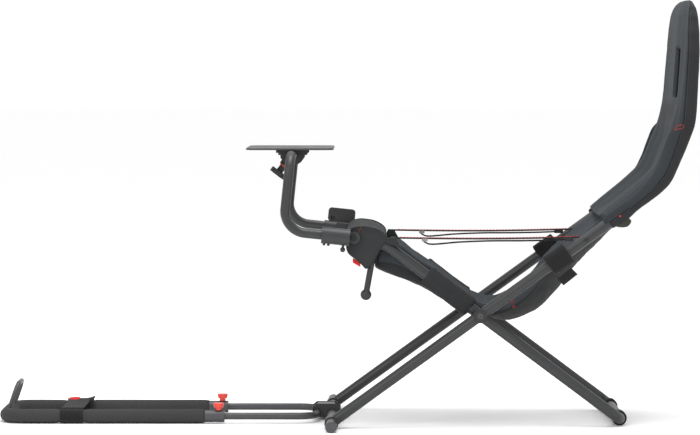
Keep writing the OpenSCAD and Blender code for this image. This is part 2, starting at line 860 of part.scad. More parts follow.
// Two hooked plates round the floor tube, with a tie plate between them.
module floor_hook() {
    hook_y = 26;
    x0 = rod_bar_x - rod_d / 2 - 3;
    x1 = floor_tube_x + tube_d / 2 + 7;
    color(frame_grey)
        difference() {
            union() {
                for (y = [-hook_y, hook_y])
                    slab([[x0, 6], [x0, 30], [x0 + 10, 38], [x1 - 12, 38], [x1, 28], [x1, 6]],
                        y - 3, y + 3);
                translate([x0 + 12, -hook_y, 33])
                    cube([x1 - x0 - 26, 2 * hook_y, 4]);
            }
            across([rod_bar_x, foam_z], -far_y, far_y, rod_d);
            across(floor_p, -far_y, far_y, tube_d + 2 * run_fit);
            translate([floor_tube_x - tube_d / 2 - run_fit, -far_y, -10])
                cube([tube_d + 2 * run_fit, 2 * far_y, 10 + floor_p[1]]);
        }
}

// ---- Pedal frame ----

strap_in_d = foam_d - 4;

module foam_grip(side) {
    color(webbing_black)
        difference() {
            straight([pedal_split_x, side * pedal_y, foam_z], [foam_end_x, side * pedal_y, foam_z],
                foam_d, (foam_d - pedal_tube_d) / 2);
            straight([strap_x - pedal_strap_w / 2 - 1, side * pedal_y, foam_z],
                [strap_x + pedal_strap_w / 2 + 1, side * pedal_y, foam_z],
                foam_d + 4, (foam_d + 4 - strap_in_d) / 2);
        }
}

pedal_front_points = [[pedal_split_x, -pedal_y, foam_z], [pedal_bar_x, -pedal_y, foam_z],
    [pedal_bar_x, pedal_y, foam_z], [pedal_split_x, pedal_y, foam_z]];
pedal_front_radii = [0, pedal_bend_r, pedal_bend_r, 0];

loop_d = 11;
loop_y = 48;
loop_top_p = [pedal_bar_x + 24, stop_loop_z - loop_d / 2];
loop_base_p = [pedal_bar_x, foam_z];
loop_dir = unit(loop_top_p - loop_base_p);

module loop_path(d) {
    start = loop_base_p + 3 * loop_dir;
    pipe([at(start, -loop_y), at(loop_top_p, -loop_y), at(loop_top_p, loop_y), at(start, loop_y)],
        [0, 24, 24, 0], d, 0);
}

module foam_front() {
    color(webbing_black)
        difference() {
            pipe(pedal_front_points, pedal_front_radii, foam_d, 0);
            pipe(pedal_front_points, pedal_front_radii, pedal_tube_d, 0);
            for (side = [-1, 1])
                straight([pedal_split_x - 2, side * pedal_y, foam_z],
                    [pedal_split_x + 2, side * pedal_y, foam_z], pedal_tube_d, 0);
            loop_path(loop_d + 2 * pad_gap);
        }
}

rod_bore = rod_d + 2 * run_fit;

// Straight tubes with the clamp collar on the rear end of each.
module pedal_tubes() {
    color(steel_grey)
        for (side = [-1, 1])
            difference() {
                union() {
                    straight([pedal_split_x, side * pedal_y, foam_z],
                        [collar_end_x, side * pedal_y, foam_z], pedal_tube_d, 0);
                    straight([foam_end_x, side * pedal_y, foam_z],
                        [collar_end_x, side * pedal_y, foam_z], collar_d, 0);
                }
                straight([pedal_split_x - 1, side * pedal_y, foam_z],
                    [collar_end_x + 1, side * pedal_y, foam_z], rod_bore, 0);
                translate([knob_x, side * pedal_y, foam_z])
                    cylinder(h = 30, d = 8 + 2 * run_fit, $fn = 48);
            }
}

module pedal_tube_front() {
    color(steel_grey)
        pipe(pedal_front_points, pedal_front_radii, pedal_tube_d - 0.2, (pedal_tube_d - 0.2 - rod_bore) / 2);
}

module pedal_stop_loop() {
    color(steel_grey)
        difference() {
            loop_path(loop_d);
            pipe(pedal_front_points, pedal_front_radii, pedal_tube_d - 0.2, 0);
        }
}

// Webbing round both grips, with a flat run across between them.
module pedal_strap() {
    x0 = strap_x - pedal_strap_w / 2;
    x1 = strap_x + pedal_strap_w / 2;
    color(webbing_black)
        difference() {
            union() {
                for (side = [-1, 1])
                    straight([x0, side * pedal_y, foam_z], [x1, side * pedal_y, foam_z], foam_d, 0);
                translate([x0, -pedal_y, foam_z + foam_d / 2 - 2.6])
                    cube([pedal_strap_w, 2 * pedal_y, 2.4]);
            }
            for (side = [-1, 1])
                straight([x0 - 1, side * pedal_y, foam_z], [x1 + 1, side * pedal_y, foam_z], strap_in_d, 0);
        }
}

// Red mushroom knob on a screw into the collar.
module clamp_knob(side) {
    color(accent_red)
        translate([knob_x, side * pedal_y, foam_z]) {
            translate([0, 0, rod_d / 2 + 0.4])
                cylinder(h = 12, d = 8, $fn = 48);
            translate([0, 0, collar_d / 2 + 0.5])
                cylinder(h = 7, d = 14, $fn = 48);
            translate([0, 0, collar_d / 2 + 6])
                cylinder(h = 7, d1 = 20, d2 = 25, $fn = 48);
            translate([0, 0, collar_d / 2 + 12.5])
                cylinder(h = 4, d = 24, $fn = 48);
        }
}

seat_rail(-1);  // seat_rail_left
seat_rail(1);  // seat_rail_right
head_hoop();
front_floor_tube();
floor_tube_caps();
rail_foot_clamps();
pivot_bolts();
pivot_washers();
strap_bolts();
strap_buckles();
side_bolster(-1);  // side_bolster_left
side_bolster(1);  // side_bolster_right
seat_back_pad();
head_rest();
rear_cover();
rail_cuffs();
cover_flaps();
flap_snaps();
wheel_rail(-1);  // wheel_rail_left
wheel_rail(1);  // wheel_rail_right
rear_floor_bar();
foot_rings();
front_crossbar();
crossbar_plugs();
arm_hinge_bolts();
front_roll();
thigh_pad();
rail_loops();
strap_hooks();
strap_sliders();
pull_tab();
seat_sling();
strap(-1);  // strap_left
strap(1);  // strap_right
arm_sleeve(-1, lock_sleeve_d, bush_d);  // arm_sleeve_left
arm_sleeve(1, plain_sleeve_d, arm_d + 2 * run_fit);  // arm_sleeve_right
sleeve_bush();
sleeve_screws();
tilt_lock_plate();
arm(-1);  // arm_left
arm(1);  // arm_right
arm_crossbar();
deck_plate();
tilt_clamp();
knob_washer();
tilt_knob();
lock_lever();
pull_pin();
pedal_rods();
pedal_rod_bend();
floor_hook();
foam_grip(-1);  // foam_left
foam_grip(1);  // foam_right
foam_front();
pedal_tubes();
pedal_tube_front();
pedal_stop_loop();
pedal_strap();
clamp_knob(-1);  // clamp_knob_left
clamp_knob(1);  // clamp_knob_right
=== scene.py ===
import math
import bpy
import bmesh
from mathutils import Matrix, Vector, noise


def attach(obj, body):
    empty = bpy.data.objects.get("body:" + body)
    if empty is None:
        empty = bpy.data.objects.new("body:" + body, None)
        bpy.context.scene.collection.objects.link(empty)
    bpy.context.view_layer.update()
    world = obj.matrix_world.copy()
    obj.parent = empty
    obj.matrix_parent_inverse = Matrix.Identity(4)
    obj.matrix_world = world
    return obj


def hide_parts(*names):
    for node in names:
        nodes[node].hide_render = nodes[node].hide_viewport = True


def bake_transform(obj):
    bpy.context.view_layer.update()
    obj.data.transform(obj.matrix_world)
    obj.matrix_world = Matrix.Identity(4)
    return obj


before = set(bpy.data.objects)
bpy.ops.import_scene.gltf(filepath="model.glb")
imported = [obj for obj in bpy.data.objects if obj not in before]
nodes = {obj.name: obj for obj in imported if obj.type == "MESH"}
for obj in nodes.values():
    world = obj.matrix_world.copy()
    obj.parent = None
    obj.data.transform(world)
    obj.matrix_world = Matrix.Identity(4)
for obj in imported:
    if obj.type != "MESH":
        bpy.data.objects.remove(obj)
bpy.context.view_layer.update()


def mm(x, y, z):
    return Vector((x, y, z)) * 0.001


camera = bpy.data.objects.new("camera", bpy.data.cameras.new("camera"))
bpy.context.collection.objects.link(camera)
camera.location = mm(39.9, -6950, 811.6)
aim = mm(10.5, 0, 472.3) - camera.location
camera.rotation_euler = aim.to_track_quat("-Z", "Y").to_euler()
camera.data.lens = 152.9
camera.data.sensor_width = 36
bpy.context.scene.camera = camera
bpy.context.scene.view_settings.view_transform = "Standard"

world = bpy.data.worlds.new("studio")
bpy.context.scene.world = world
world.use_nodes = True
world.node_tree.nodes["Background"].inputs["Color"].default_value = (1, 1, 1, 1)
world.node_tree.nodes["Background"].inputs["Strength"].default_value = 1.0


def soft_light(name, place, target, size, power):
    lamp = bpy.data.objects.new(name, bpy.data.lights.new(name, "AREA"))
    bpy.context.collection.objects.link(lamp)
    lamp.location = place
    lamp.rotation_euler = (Vector(target) - Vector(place)).to_track_quat("-Z", "Y").to_euler()
    lamp.data.size = size
    lamp.data.energy = power


soft_light("overhead", (0.1, -0.3, 3.6), (0.1, 0, 0.3), 2.2, 95)
soft_light("front_left", (-2.8, -4.4, 2.8), (0, 0, 0.5), 1.6, 60)
soft_light("right_fill", (3.6, -2.6, 1.6), (0.4, 0, 0.6), 2.2, 15)


def new_material(name):
    mat = bpy.data.materials.new(name)
    mat.use_nodes = True
    return mat, mat.node_tree, mat.node_tree.nodes["Principled BSDF"]


def add(tree, kind, values=None, **settings):
    node = tree.nodes.new(kind)
    for key, value in settings.items():
        setattr(node, key, value)
    for key, value in (values or {}).items():
        if isinstance(value, bpy.types.NodeSocket):
            tree.links.new(value, node.inputs[key])
        else:
            node.inputs[key].default_value = value
    return node


def math_node(tree, operation, a, b=0.0):
    return add(tree, "ShaderNodeMath", {0: a, 1: b}, operation=operation).outputs[0]


def mix_colour(tree, factor, a, b):
    return add(tree, "ShaderNodeMix", {0: factor, 6: a, 7: b}, data_type="RGBA").outputs[2]


def new_group(name, inputs, outputs):
    group = bpy.data.node_groups.new(name, "ShaderNodeTree")
    for title, kind, value in inputs:
        group.interface.new_socket(title, in_out="INPUT", socket_type=kind).default_value = value
    for title, kind in outputs:
        group.interface.new_socket(title, in_out="OUTPUT", socket_type=kind)
    return group, group.nodes.new("NodeGroupInput").outputs, group.nodes.new("NodeGroupOutput").inputs


floor_mesh = bpy.data.meshes.new("floor")
bm = bmesh.new()
bmesh.ops.create_circle(bm, cap_ends=True, segments=64, radius=60)
bm.to_mesh(floor_mesh)
bm.free()
floor = bpy.data.objects.new("floor", floor_mesh)
bpy.context.collection.objects.link(floor)
floor_white, tree, shader = new_material("floor_white")
shader.inputs["Base Color"].default_value = (0.99, 0.99, 0.99, 1)
shader.inputs["Roughness"].default_value = 0.9
floor.data.materials.append(floor_white)

# ---- Frame tubes ----
# Round steel tubes, bent and welded, then powder coated dark grey with a satin finish.
# The coat has a fine orange-peel skin, faint clouds of tone and lightly rubbed patches.
GRAIN, g_in, g_out = new_group("surface_grain",
    [("Vector", "NodeSocketVector", (0, 0, 0)), ("Fine Scale", "NodeSocketFloat", 900.0),
     ("Cloud Scale", "NodeSocketFloat", 14.0)],
    [("Fine", "NodeSocketFloat"), ("Cloud", "NodeSocketFloat"), ("Rub", "NodeSocketFloat")])
tree = GRAIN
fine = add(tree, "ShaderNodeTexNoise", {"Vector": g_in["Vector"], "Scale": g_in["Fine Scale"], "Detail": 3.0})
cloud = add(tree, "ShaderNodeTexNoise", {"Vector": g_in["Vector"], "Scale": g_in["Cloud Scale"],
    "Detail": 5.0})
stretched = add(tree, "ShaderNodeMapping", {"Vector": g_in["Vector"], "Scale": (1.0, 1.0, 6.0)})
streak = add(tree, "ShaderNodeTexNoise", {"Vector": stretched.outputs[0], "Scale": 45.0, "Detail": 6.0,
    "Roughness": 0.7})
rub = add(tree, "ShaderNodeMapRange", {"Value": streak.outputs[0], "From Min": 0.62, "From Max": 0.74})
tree.links.new(fine.outputs[0], g_out["Fine"])
tree.links.new(cloud.outputs[0], g_out["Cloud"])
tree.links.new(rub.outputs[0], g_out["Rub"])


def grained(name, dark, light, rough_low, rough_high, fine_scale=900.0, bump=0.15, depth=0.0002,
            metallic=0.0, rub_tone=0.15, specular=0.5, coat=0.0):
    """A hard finish: two close tones in clouds, a fine skin in the bump and rubbed patches."""
    mat, tree, shader = new_material(name)
    place = add(tree, "ShaderNodeTexCoord").outputs["Object"]
    grain = add(tree, "ShaderNodeGroup", node_tree=GRAIN)
    tree.links.new(place, grain.inputs["Vector"])
    grain.inputs["Fine Scale"].default_value = fine_scale
    tone = mix_colour(tree, grain.outputs["Cloud"], (*dark, 1), (*light, 1))
    worn = math_node(tree, "MULTIPLY", grain.outputs["Rub"], rub_tone)
    paler = tuple(min(1, c * 2.2 + 0.01) for c in light)
    tree.links.new(mix_colour(tree, worn, tone, (*paler, 1)), shader.inputs["Base Color"])
    rough = add(tree, "ShaderNodeMapRange", {"Value": grain.outputs["Cloud"], "From Min": 0.3,
        "From Max": 0.7, "To Min": rough_low, "To Max": rough_high})
    tree.links.new(rough.outputs[0], shader.inputs["Roughness"])
    skin_bump = add(tree, "ShaderNodeBump", {"Height": grain.outputs["Fine"], "Strength": bump,
        "Distance": depth})
    tree.links.new(skin_bump.outputs[0], shader.inputs["Normal"])
    shader.inputs["Metallic"].default_value = metallic
    shader.inputs["Specular IOR Level"].default_value = specular
    shader.inputs["Coat Weight"].default_value = coat
    return mat


def finish_nodes(mat, slot, *names):
    for name in names:
        piece = nodes[name]
        if piece.material_slots:
            for part in piece.material_slots:
                part.link = "OBJECT"
                part.material = mat
        else:
            piece.data.materials.append(mat)


frame_grey = grained("powder_coat_grey", (0.014, 0.0145, 0.0155), (0.026, 0.027, 0.0285), 0.34, 0.46,
    metallic=0.1, rub_tone=0.12, specular=0.5)
finish_nodes(frame_grey, "frame_paint", "seat_rail_left", "seat_rail_right", "head_hoop",
    "front_floor_tube", "rail_foot_clamps", "wheel_rail_left", "wheel_rail_right", "rear_floor_bar",
    "front_crossbar", "arm_left", "arm_right", "arm_crossbar", "floor_hook")

# ---- Arm sleeves ----
# Short steel sleeves welded to the hinge lugs. They carry the arms, with a plastic bush in the
# left one, and are coated in a slightly paler grey than the long tubes.
sleeve_grey = grained("sleeve_coat", (0.026, 0.027, 0.028), (0.042, 0.043, 0.045), 0.36, 0.5, metallic=0.3,
    specular=0.4)
finish_nodes(sleeve_grey, "frame_paint", "arm_sleeve_left", "arm_sleeve_right")

# ---- Zinc-plated steel ----
# Plated steel with a fine brushed grain and dull rubbed spots: bright on the washers, plugs and
# sliders, dull on the pedal rods and tubes, dark on the bolts, screws and buckles, and nearly
# black on the hinge bolts. The strap hooks get the same nearly black finish as painted shade.
zinc = grained("zinc_plate", (0.20, 0.20, 0.205), (0.33, 0.33, 0.335), 0.26, 0.42, fine_scale=1400.0,
    bump=0.08, metallic=0.9, rub_tone=0.3)
dull_zinc = grained("dull_zinc", (0.055, 0.056, 0.058), (0.085, 0.086, 0.089), 0.36, 0.5, metallic=0.6)
dark_zinc = grained("dark_zinc", (0.020, 0.020, 0.021), (0.036, 0.036, 0.038), 0.34, 0.46, metallic=0.6)
finish_nodes(zinc, "zinc_steel", "pivot_washers", "crossbar_plugs", "strap_sliders")
black_zinc_and_shade = grained("black_zinc_and_shade", (0.012, 0.0125, 0.013), (0.022, 0.023, 0.024), 0.42, 0.56, metallic=0.2,
    specular=0.3)
finish_nodes(dark_zinc, "zinc_steel", "strap_bolts", "sleeve_screws", "strap_buckles")
# Nearly black: the hinge bolts' own colour, and painted shade on the strap hooks so they read as shadow
# beside the strap.
finish_nodes(black_zinc_and_shade, "zinc_steel", "arm_hinge_bolts", "strap_hooks")
finish_nodes(dull_zinc, "zinc_steel", "floor_tube_caps", "pedal_rods", "pedal_rod_bend", "pedal_tubes",
    "pedal_tube_front", "pedal_stop_loop")

# ---- Moulded plastic, rubber and coated plates ----
# Injection-moulded black nylon with a spark-eroded texture, soft rubber rings on the rear bar,
# the steel deck plate with a finer, slightly paler coat, and red moulded knobs.
black_nylon = grained("black_nylon", (0.009, 0.009, 0.0095), (0.017, 0.017, 0.0175), 0.40, 0.56,
    fine_scale=1500.0, bump=0.3, depth=0.0003, rub_tone=0.25)
rubber = grained("rubber", (0.009, 0.009, 0.009), (0.018, 0.018, 0.018), 0.7, 0.85, fine_scale=700.0,
    bump=0.35, depth=0.0003, rub_tone=0.5, specular=0.3)
deck_coat = grained("deck_coat", (0.024, 0.0245, 0.026), (0.040, 0.041, 0.043), 0.42, 0.54, metallic=0.1,
    rub_tone=0.35)
red_nylon = grained("red_nylon", (0.62, 0.035, 0.022), (0.75, 0.06, 0.035), 0.32, 0.45,
    fine_scale=1300.0, bump=0.15, rub_tone=0.12, coat=0.15)
finish_nodes(black_nylon, "black_plastic", "pivot_bolts", "sleeve_bush", "tilt_lock_plate", "tilt_clamp",
    "tilt_knob", "lock_lever", "pull_pin")
finish_nodes(rubber, "rubber", "foot_rings")
finish_nodes(deck_coat, "frame_paint", "deck_plate")
finish_nodes(red_nylon, "red_plastic", "knob_washer", "clamp_knob_left", "clamp_knob_right")

# ---- Seat shell ----
# A sewn cover, padded with foam, pulled over the seat rails and the head hoop like a sock: a
# front panel with side bolsters, a darker rear panel, and a seam all round between the two.
# Two slots let a harness through, their walls near-black as painted shade. The seam is a real
# groove with a row of stitches beside it.


def curve_through(points, count):
    """count points, evenly spread along a smooth curve through the given ones."""
    pts = [Vector(p) for p in points]
    dense = []
    for i in range(len(pts) - 1):
        a, b, c, d = pts[max(i - 1, 0)], pts[i], pts[i + 1], pts[min(i + 2, len(pts) - 1)]
        for k in range(24):
            t = k / 24
            dense.append(0.5 * (2 * b + (c - a) * t + (2 * a - 5 * b + 4 * c - d) * t * t
                + (3 * b - a - 3 * c + d) * t ** 3))
    dense.append(pts[-1])
    reach = [0.0]
    for p, q in zip(dense, dense[1:]):
        reach.append(reach[-1] + (q - p).length)
    out, j = [], 0
    for k in range(count):
        want = reach[-1] * k / (count - 1)
        while j < len(reach) - 2 and reach[j + 1] < want:
            j += 1
        span = reach[j + 1] - reach[j]
        out.append(dense[j].lerp(dense[j + 1], (want - reach[j]) / span if span else 0))
    return out


def value_through(points, t):
    """A smooth value at t from (t, value) pairs."""
    for (t0, v0), (t1, v1) in zip(points, points[1:]):
        if t <= t1:
            w = max(0.0, min(1.0, (t - t0) / (t1 - t0)))
            return v0 + (v1 - v0) * w * w * (3 - 2 * w)
    return points[-1][1]


def skin(name, rows, ring=True, cap=True, drop=(), bridges=(), loop_rows=False):
    """A mesh over rows of points in metres, with a UV map in metres round and along the rows."""
    count, wide = len(rows), len(rows[0])
    bm = bmesh.new()
    grid = [[bm.verts.new(p) for p in row] for row in rows]
    uv = bm.loops.layers.uv.new("fabric")
    along = [0.0]
    for a, b in zip(rows, rows[1:]):
        along.append(along[-1] + sum((p - q).length for p, q in zip(a, b)) / wide)
    around = [0.0]
    middle = rows[count // 2]
    for k in range(wide):
        around.append(around[-1] + (middle[k] - middle[(k + 1) % wide]).length)
    for j in range(count if loop_rows else count - 1):
        for i in range(wide if ring else wide - 1):
            if (j, i) in drop:
                continue
            n, m = (i + 1) % wide, (j + 1) % count
            face = bm.faces.new((grid[j][i], grid[j][n], grid[m][n], grid[m][i]))
            v1 = along[j + 1] if j + 1 < count else along[j] + 0.01
            for loop, (u, v) in zip(face.loops, ((around[i], along[j]), (around[i + 1], along[j]),
                                                 (around[i + 1], v1), (around[i], v1))):
                loop[uv].uv = (u, v)
    for (j0, i0), (j1, i1), (k1, m1), (k0, m0) in bridges:
        face = bm.faces.new((grid[j0][i0], grid[j1][i1], grid[k1][m1], grid[k0][m0]))
        for loop, (u, v) in zip(face.loops, ((0, 0), (0.01, 0), (0.01, 0.02), (0, 0.02))):
            loop[uv].uv = (u, v)
    if cap and ring and not loop_rows:
        for row in (rows[0], rows[-1]):
            j = 0 if row is rows[0] else count - 1
            centre = bm.verts.new(sum(row, Vector()) / wide)
            for i in range(wide):
                n = (i + 1) % wide
                face = bm.faces.new((grid[j][n], grid[j][i], centre))
                for loop in face.loops:
                    loop[uv].uv = (loop.vert.co.x + loop.vert.co.z, loop.vert.co.y)
    bmesh.ops.recalc_face_normals(bm, faces=bm.faces)
    for face in bm.faces:
        face.smooth = True
    mesh = bpy.data.meshes.new(name)
    bm.to_mesh(mesh)
    bm.free()
    piece = bpy.data.objects.new(name, mesh)
    bpy.context.collection.objects.link(piece)
    return piece


def subdivide(piece, levels):
    soft = piece.modifiers.new("soft", "SUBSURF")
    soft.levels = soft.render_levels = levels


def settle(piece):
    """Puts the piece's modifiers into its mesh."""
    graph = bpy.context.evaluated_depsgraph_get()
    mesh = bpy.data.meshes.new_from_object(piece.evaluated_get(graph), preserve_all_data_layers=True,
        depsgraph=graph)
    piece.modifiers.clear()
    old, piece.data = piece.data, mesh
    bpy.data.meshes.remove(old)
    mesh.name = piece.name


def rumple(piece, amount, scale, stretch=(1, 1, 1), seed=0.0):
    """Soft folds: the surface moves in and out along its normal by up to amount metres."""
    mesh = piece.data
    moves = []
    for v in mesh.vertices:
        p = Vector(v.co[k] * scale * stretch[k] + seed for k in range(3))
        moves.append(v.co + v.normal * amount * (noise.noise(p) + 0.5 * noise.noise(p * 2.3)))
    mesh.vertices.foreach_set("co", [c for v in moves for c in v])
    mesh.update()


WEAVE, w_in, w_out = new_group("plain_weave",
    [("Vector", "NodeSocketVector", (0, 0, 0)), ("Pitch", "NodeSocketFloat", 0.0018)],
    [("Thread", "NodeSocketFloat"), ("Fuzz", "NodeSocketFloat"), ("Shade", "NodeSocketFloat")])
tree = WEAVE
parts = add(tree, "ShaderNodeSeparateXYZ", {0: w_in["Vector"]})
waves = []
for axis in (0, 1):
    turns = math_node(tree, "MULTIPLY", math_node(tree, "DIVIDE", parts.outputs[axis], w_in["Pitch"]),
        math.pi)
    waves.append(math_node(tree, "SINE", turns))
over = math_node(tree, "GREATER_THAN", math_node(tree, "MULTIPLY", waves[0], waves[1]), 0.0)
thread = add(tree, "ShaderNodeMix", {0: over, 2: math_node(tree, "ABSOLUTE", waves[0]),
    3: math_node(tree, "ABSOLUTE", waves[1])})
fuzz = add(tree, "ShaderNodeTexNoise", {"Vector": w_in["Vector"], "Scale": 2200.0, "Detail": 2.0})
shade = add(tree, "ShaderNodeTexNoise", {"Vector": w_in["Vector"], "Scale": 9.0, "Detail": 4.0})
tree.links.new(thread.outputs[0], w_out["Thread"])
tree.links.new(fuzz.outputs[0], w_out["Fuzz"])
tree.links.new(shade.outputs[0], w_out["Shade"])


def woven(name, dark, light, pitch=0.0018, bump=0.35, depth=0.0004, rough=(0.8, 0.97), sheen=0.03):
    """Cloth: threads over and under in colour and bump, fuzz, and slow changes of tone."""
    mat, tree, shader = new_material(name)
    place = add(tree, "ShaderNodeUVMap", uv_map="fabric").outputs[0]
    weave = add(tree, "ShaderNodeGroup", node_tree=WEAVE)
    tree.links.new(place, weave.inputs["Vector"])
    weave.inputs["Pitch"].default_value = pitch
    mask = math_node(tree, "ADD", math_node(tree, "MULTIPLY", weave.outputs["Thread"], 0.45),
        math_node(tree, "MULTIPLY", weave.outputs["Shade"], 0.6))
    tree.links.new(mix_colour(tree, mask, (*dark, 1), (*light, 1)), shader.inputs["Base Color"])
    dull = add(tree, "ShaderNodeMapRange", {"Value": weave.outputs["Fuzz"], "From Min": 0.3, "From Max": 0.7,
        "To Min": rough[0], "To Max": rough[1]})
    tree.links.new(dull.outputs[0], shader.inputs["Roughness"])
    height = math_node(tree, "ADD", weave.outputs["Thread"],
        math_node(tree, "MULTIPLY", weave.outputs["Fuzz"], 0.4))
    threads = add(tree, "ShaderNodeBump", {"Height": height, "Strength": bump, "Distance": depth})
    tree.links.new(threads.outputs[0], shader.inputs["Normal"])
    shader.inputs["Sheen Weight"].default_value = sheen
    shader.inputs["Sheen Roughness"].default_value = 0.5
    shader.inputs["Specular IOR Level"].default_value = 0.16
    return mat


front_cloth = woven("front_cloth", (0.014, 0.016, 0.018), (0.040, 0.045, 0.050))
rear_cloth = woven("rear_cloth", (0.011, 0.011, 0.0118), (0.031, 0.032, 0.0335), pitch=0.0022)
# Near-black cloth for the slot walls: painted shade for the dark inside the harness slots.
slot_painted_shade = woven("slot_painted_shade", (0.003, 0.003, 0.003), (0.008, 0.008, 0.008))

shell_front = [(582, 489), (604, 508), (636, 534), (666, 559), (692, 583), (710, 608), (728, 652), (739, 679),
    (748, 706), (756, 746), (761, 793), (765, 840), (768, 885), (771, 925), (776, 953), (784, 970),
    (790, 978)]
shell_rear = [(606, 456), (636, 472), (664, 497), (696, 521), (724, 544), (744, 569), (764, 613), (779, 650),
    (794, 694), (799, 742), (801, 794), (803, 840), (804, 885), (804, 925), (802, 953), (797, 970),
    (794, 978)]
STATIONS = 97
front_line = curve_through([(x, 0, z) for x, z in shell_front], STATIONS)
rear_line = curve_through([(x, 0, z) for x, z in shell_rear], STATIONS)
COLUMNS = 45
side_profile = [(0.05, 12.0), (0.14, 6.0), (0.25, 2.6), (0.38, 0.8), (0.50, 0.2), (0.545, 0.8), (0.565, 3.6),
    (0.60, 3.6), (0.63, 0.8), (0.72, 0.2), (0.84, 1.5), (0.93, 5.0), (0.985, 11)]


def shell_half_width(z):
    return value_through([(440, 211), (520, 214), (700, 215), (800, 215), (860, 213), (900, 202), (940, 184),
        (962, 163), (974, 135), (979, 96)], z)


def bucket(z, y, half):
    """How far the front face lies behind the side line: deep between the bolsters, proud at the head."""
    reach = abs(y) / half
    well = value_through([(0, 1), (0.46, 0.93), (0.62, 0.55), (0.76, 0.05), (0.82, 0), (1, 0)], reach)
    depth = value_through([(480, 10), (540, 18), (600, 22), (660, 21), (705, 10), (745, -3)], z)
    outer = value_through([(0, 0), (0.82, 0), (0.94, 1), (1, 1)], reach)
    round_side = value_through([(0, 0), (0.52, 0), (0.75, 0.35), (0.94, 1), (1, 1)], reach)
    fall = outer * value_through([(480, 5), (700, 8), (770, 0), (979, 0)], z) + round_side * value_through(
        [(700, 0), (780, 5), (930, 5), (979, 2)], z)
    crown = value_through([(0, 0.5), (0.3, 0.6), (0.5, 1), (0.7, 0.6), (0.9, 0), (1, 0)], reach)
    proud = value_through([(700, 0), (760, 3), (800, 4), (930, 4), (965, 3), (979, 1)], z)
    channel = 2.6 * math.exp(-((abs(y) - 92) / 5) ** 2) * value_through([(500, 1), (700, 1), (735, 0)], z)
    return well * depth + fall - crown * proud + channel


shell_rows = []
for f, r in zip(front_line, rear_line):
    z = 0.5 * (f.z + r.z)
    half = shell_half_width(f.z)
    inward = (r - f).normalized()
    depth = (r - f).length
    inner = half - 14
    seam = value_through([(470, 0.54), (600, 0.46), (640, 0.38), (681, 0.29), (735, 0.22), (840, 0.16),
        (930, 0.14)], z)
    side_at = [(d / 0.58 * seam if d < 0.58 else 1 - (1 - d) / 0.42 * (1 - seam), off) for d,
        off in side_profile]
    ease = bucket(f.z, inner, half)
    row = []
    for k in range(COLUMNS):
        y = inner * math.sin(0.5 * math.pi * (2 * k / (COLUMNS - 1) - 1) * 0.98) / math.sin(0.49 * math.pi)
        row.append(f + inward * bucket(f.z, y, half) + Vector((0, y, 0)))
    for d, off in side_at:
        row.append(f + inward * (depth * d + ease * (1 - d)) + Vector((0, half - off * min(1, half / 150),
            0)))
    for k in range(COLUMNS):
        y = inner * math.sin(0.5 * math.pi * (1 - 2 * k / (COLUMNS - 1)) * 0.98) / math.sin(0.49 * math.pi)
        sag = 3.5 * (1 - (y / inner) ** 2) * value_through([(500, 1), (720, 1), (780, 0.5), (940, 0)], r.z)
        row.append(r - inward * sag + Vector((0, y, 0)))
    for d, off in reversed(side_at):
        row.append(f + inward * (depth * d + ease * (1 - d)) - Vector((0, half - off * min(1, half / 150),
            0)))
    shell_rows.append([p * 0.001 for p in row])

slot_rows = [j for j in range(STATIONS - 1) if 752 < front_line[j].z < 862]
first, last = slot_rows[0], slot_rows[-1] + 1
slot_columns = [k for k in range(COLUMNS - 1)
    if 103 < 0.5 * (shell_rows[first][k].y + shell_rows[first][k + 1].y) * 1000 < 151]
rear_start = COLUMNS + len(side_profile)
wide = len(shell_rows[0])
dropped, walls = set(), []
for left, right in ((slot_columns[0], slot_columns[-1] + 1),
                    (COLUMNS - 2 - slot_columns[-1], COLUMNS - 1 - slot_columns[0])):
    def behind(k):
        return rear_start + COLUMNS - 1 - k
    for j in range(first, last):
        for k in range(left, right):
            dropped.add((j, k))
            dropped.add((j, behind(k + 1)))
    for k in range(left, right):
        walls.append(((first, k), (first, k + 1), (first, behind(k + 1)), (first, behind(k))))
        walls.append(((last, k + 1), (last, k), (last, behind(k)), (last, behind(k + 1))))
    for j in range(first, last):
        walls.append(((j + 1, left), (j, left), (j, behind(left)), (j + 1, behind(left))))
        walls.append(((j, right), (j + 1, right), (j + 1, behind(right)), (j, behind(right))))

shell = skin("seat_shell", shell_rows, drop=dropped, bridges=walls)
for mat in (front_cloth, rear_cloth, slot_painted_shade):
    shell.data.materials.append(mat)
grid_faces = [(j, i) for j in range(STATIONS - 1) for i in range(wide) if (j, i) not in dropped]
groove = side_profile.index((0.60, 3.6))
for face, (j, i) in zip(shell.data.polygons, grid_faces):
    face.material_index = 1 if COLUMNS + groove <= i < wide - groove - 1 else 0
# The slot walls get the near-black painted shade.
for face in list(shell.data.polygons)[len(grid_faces):len(grid_faces) + len(walls)]:
    face.material_index = 2
subdivide(shell, 1)
settle(shell)
rumple(shell, 0.0011, 9.0, (1, 0.6, 1), 3.1)
rumple(shell, 0.0004, 34.0, (1, 1, 1), 7.7)
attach(shell, "seat_frame")
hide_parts("side_bolster_left", "side_bolster_right", "seat_back_pad", "head_rest", "rear_cover")

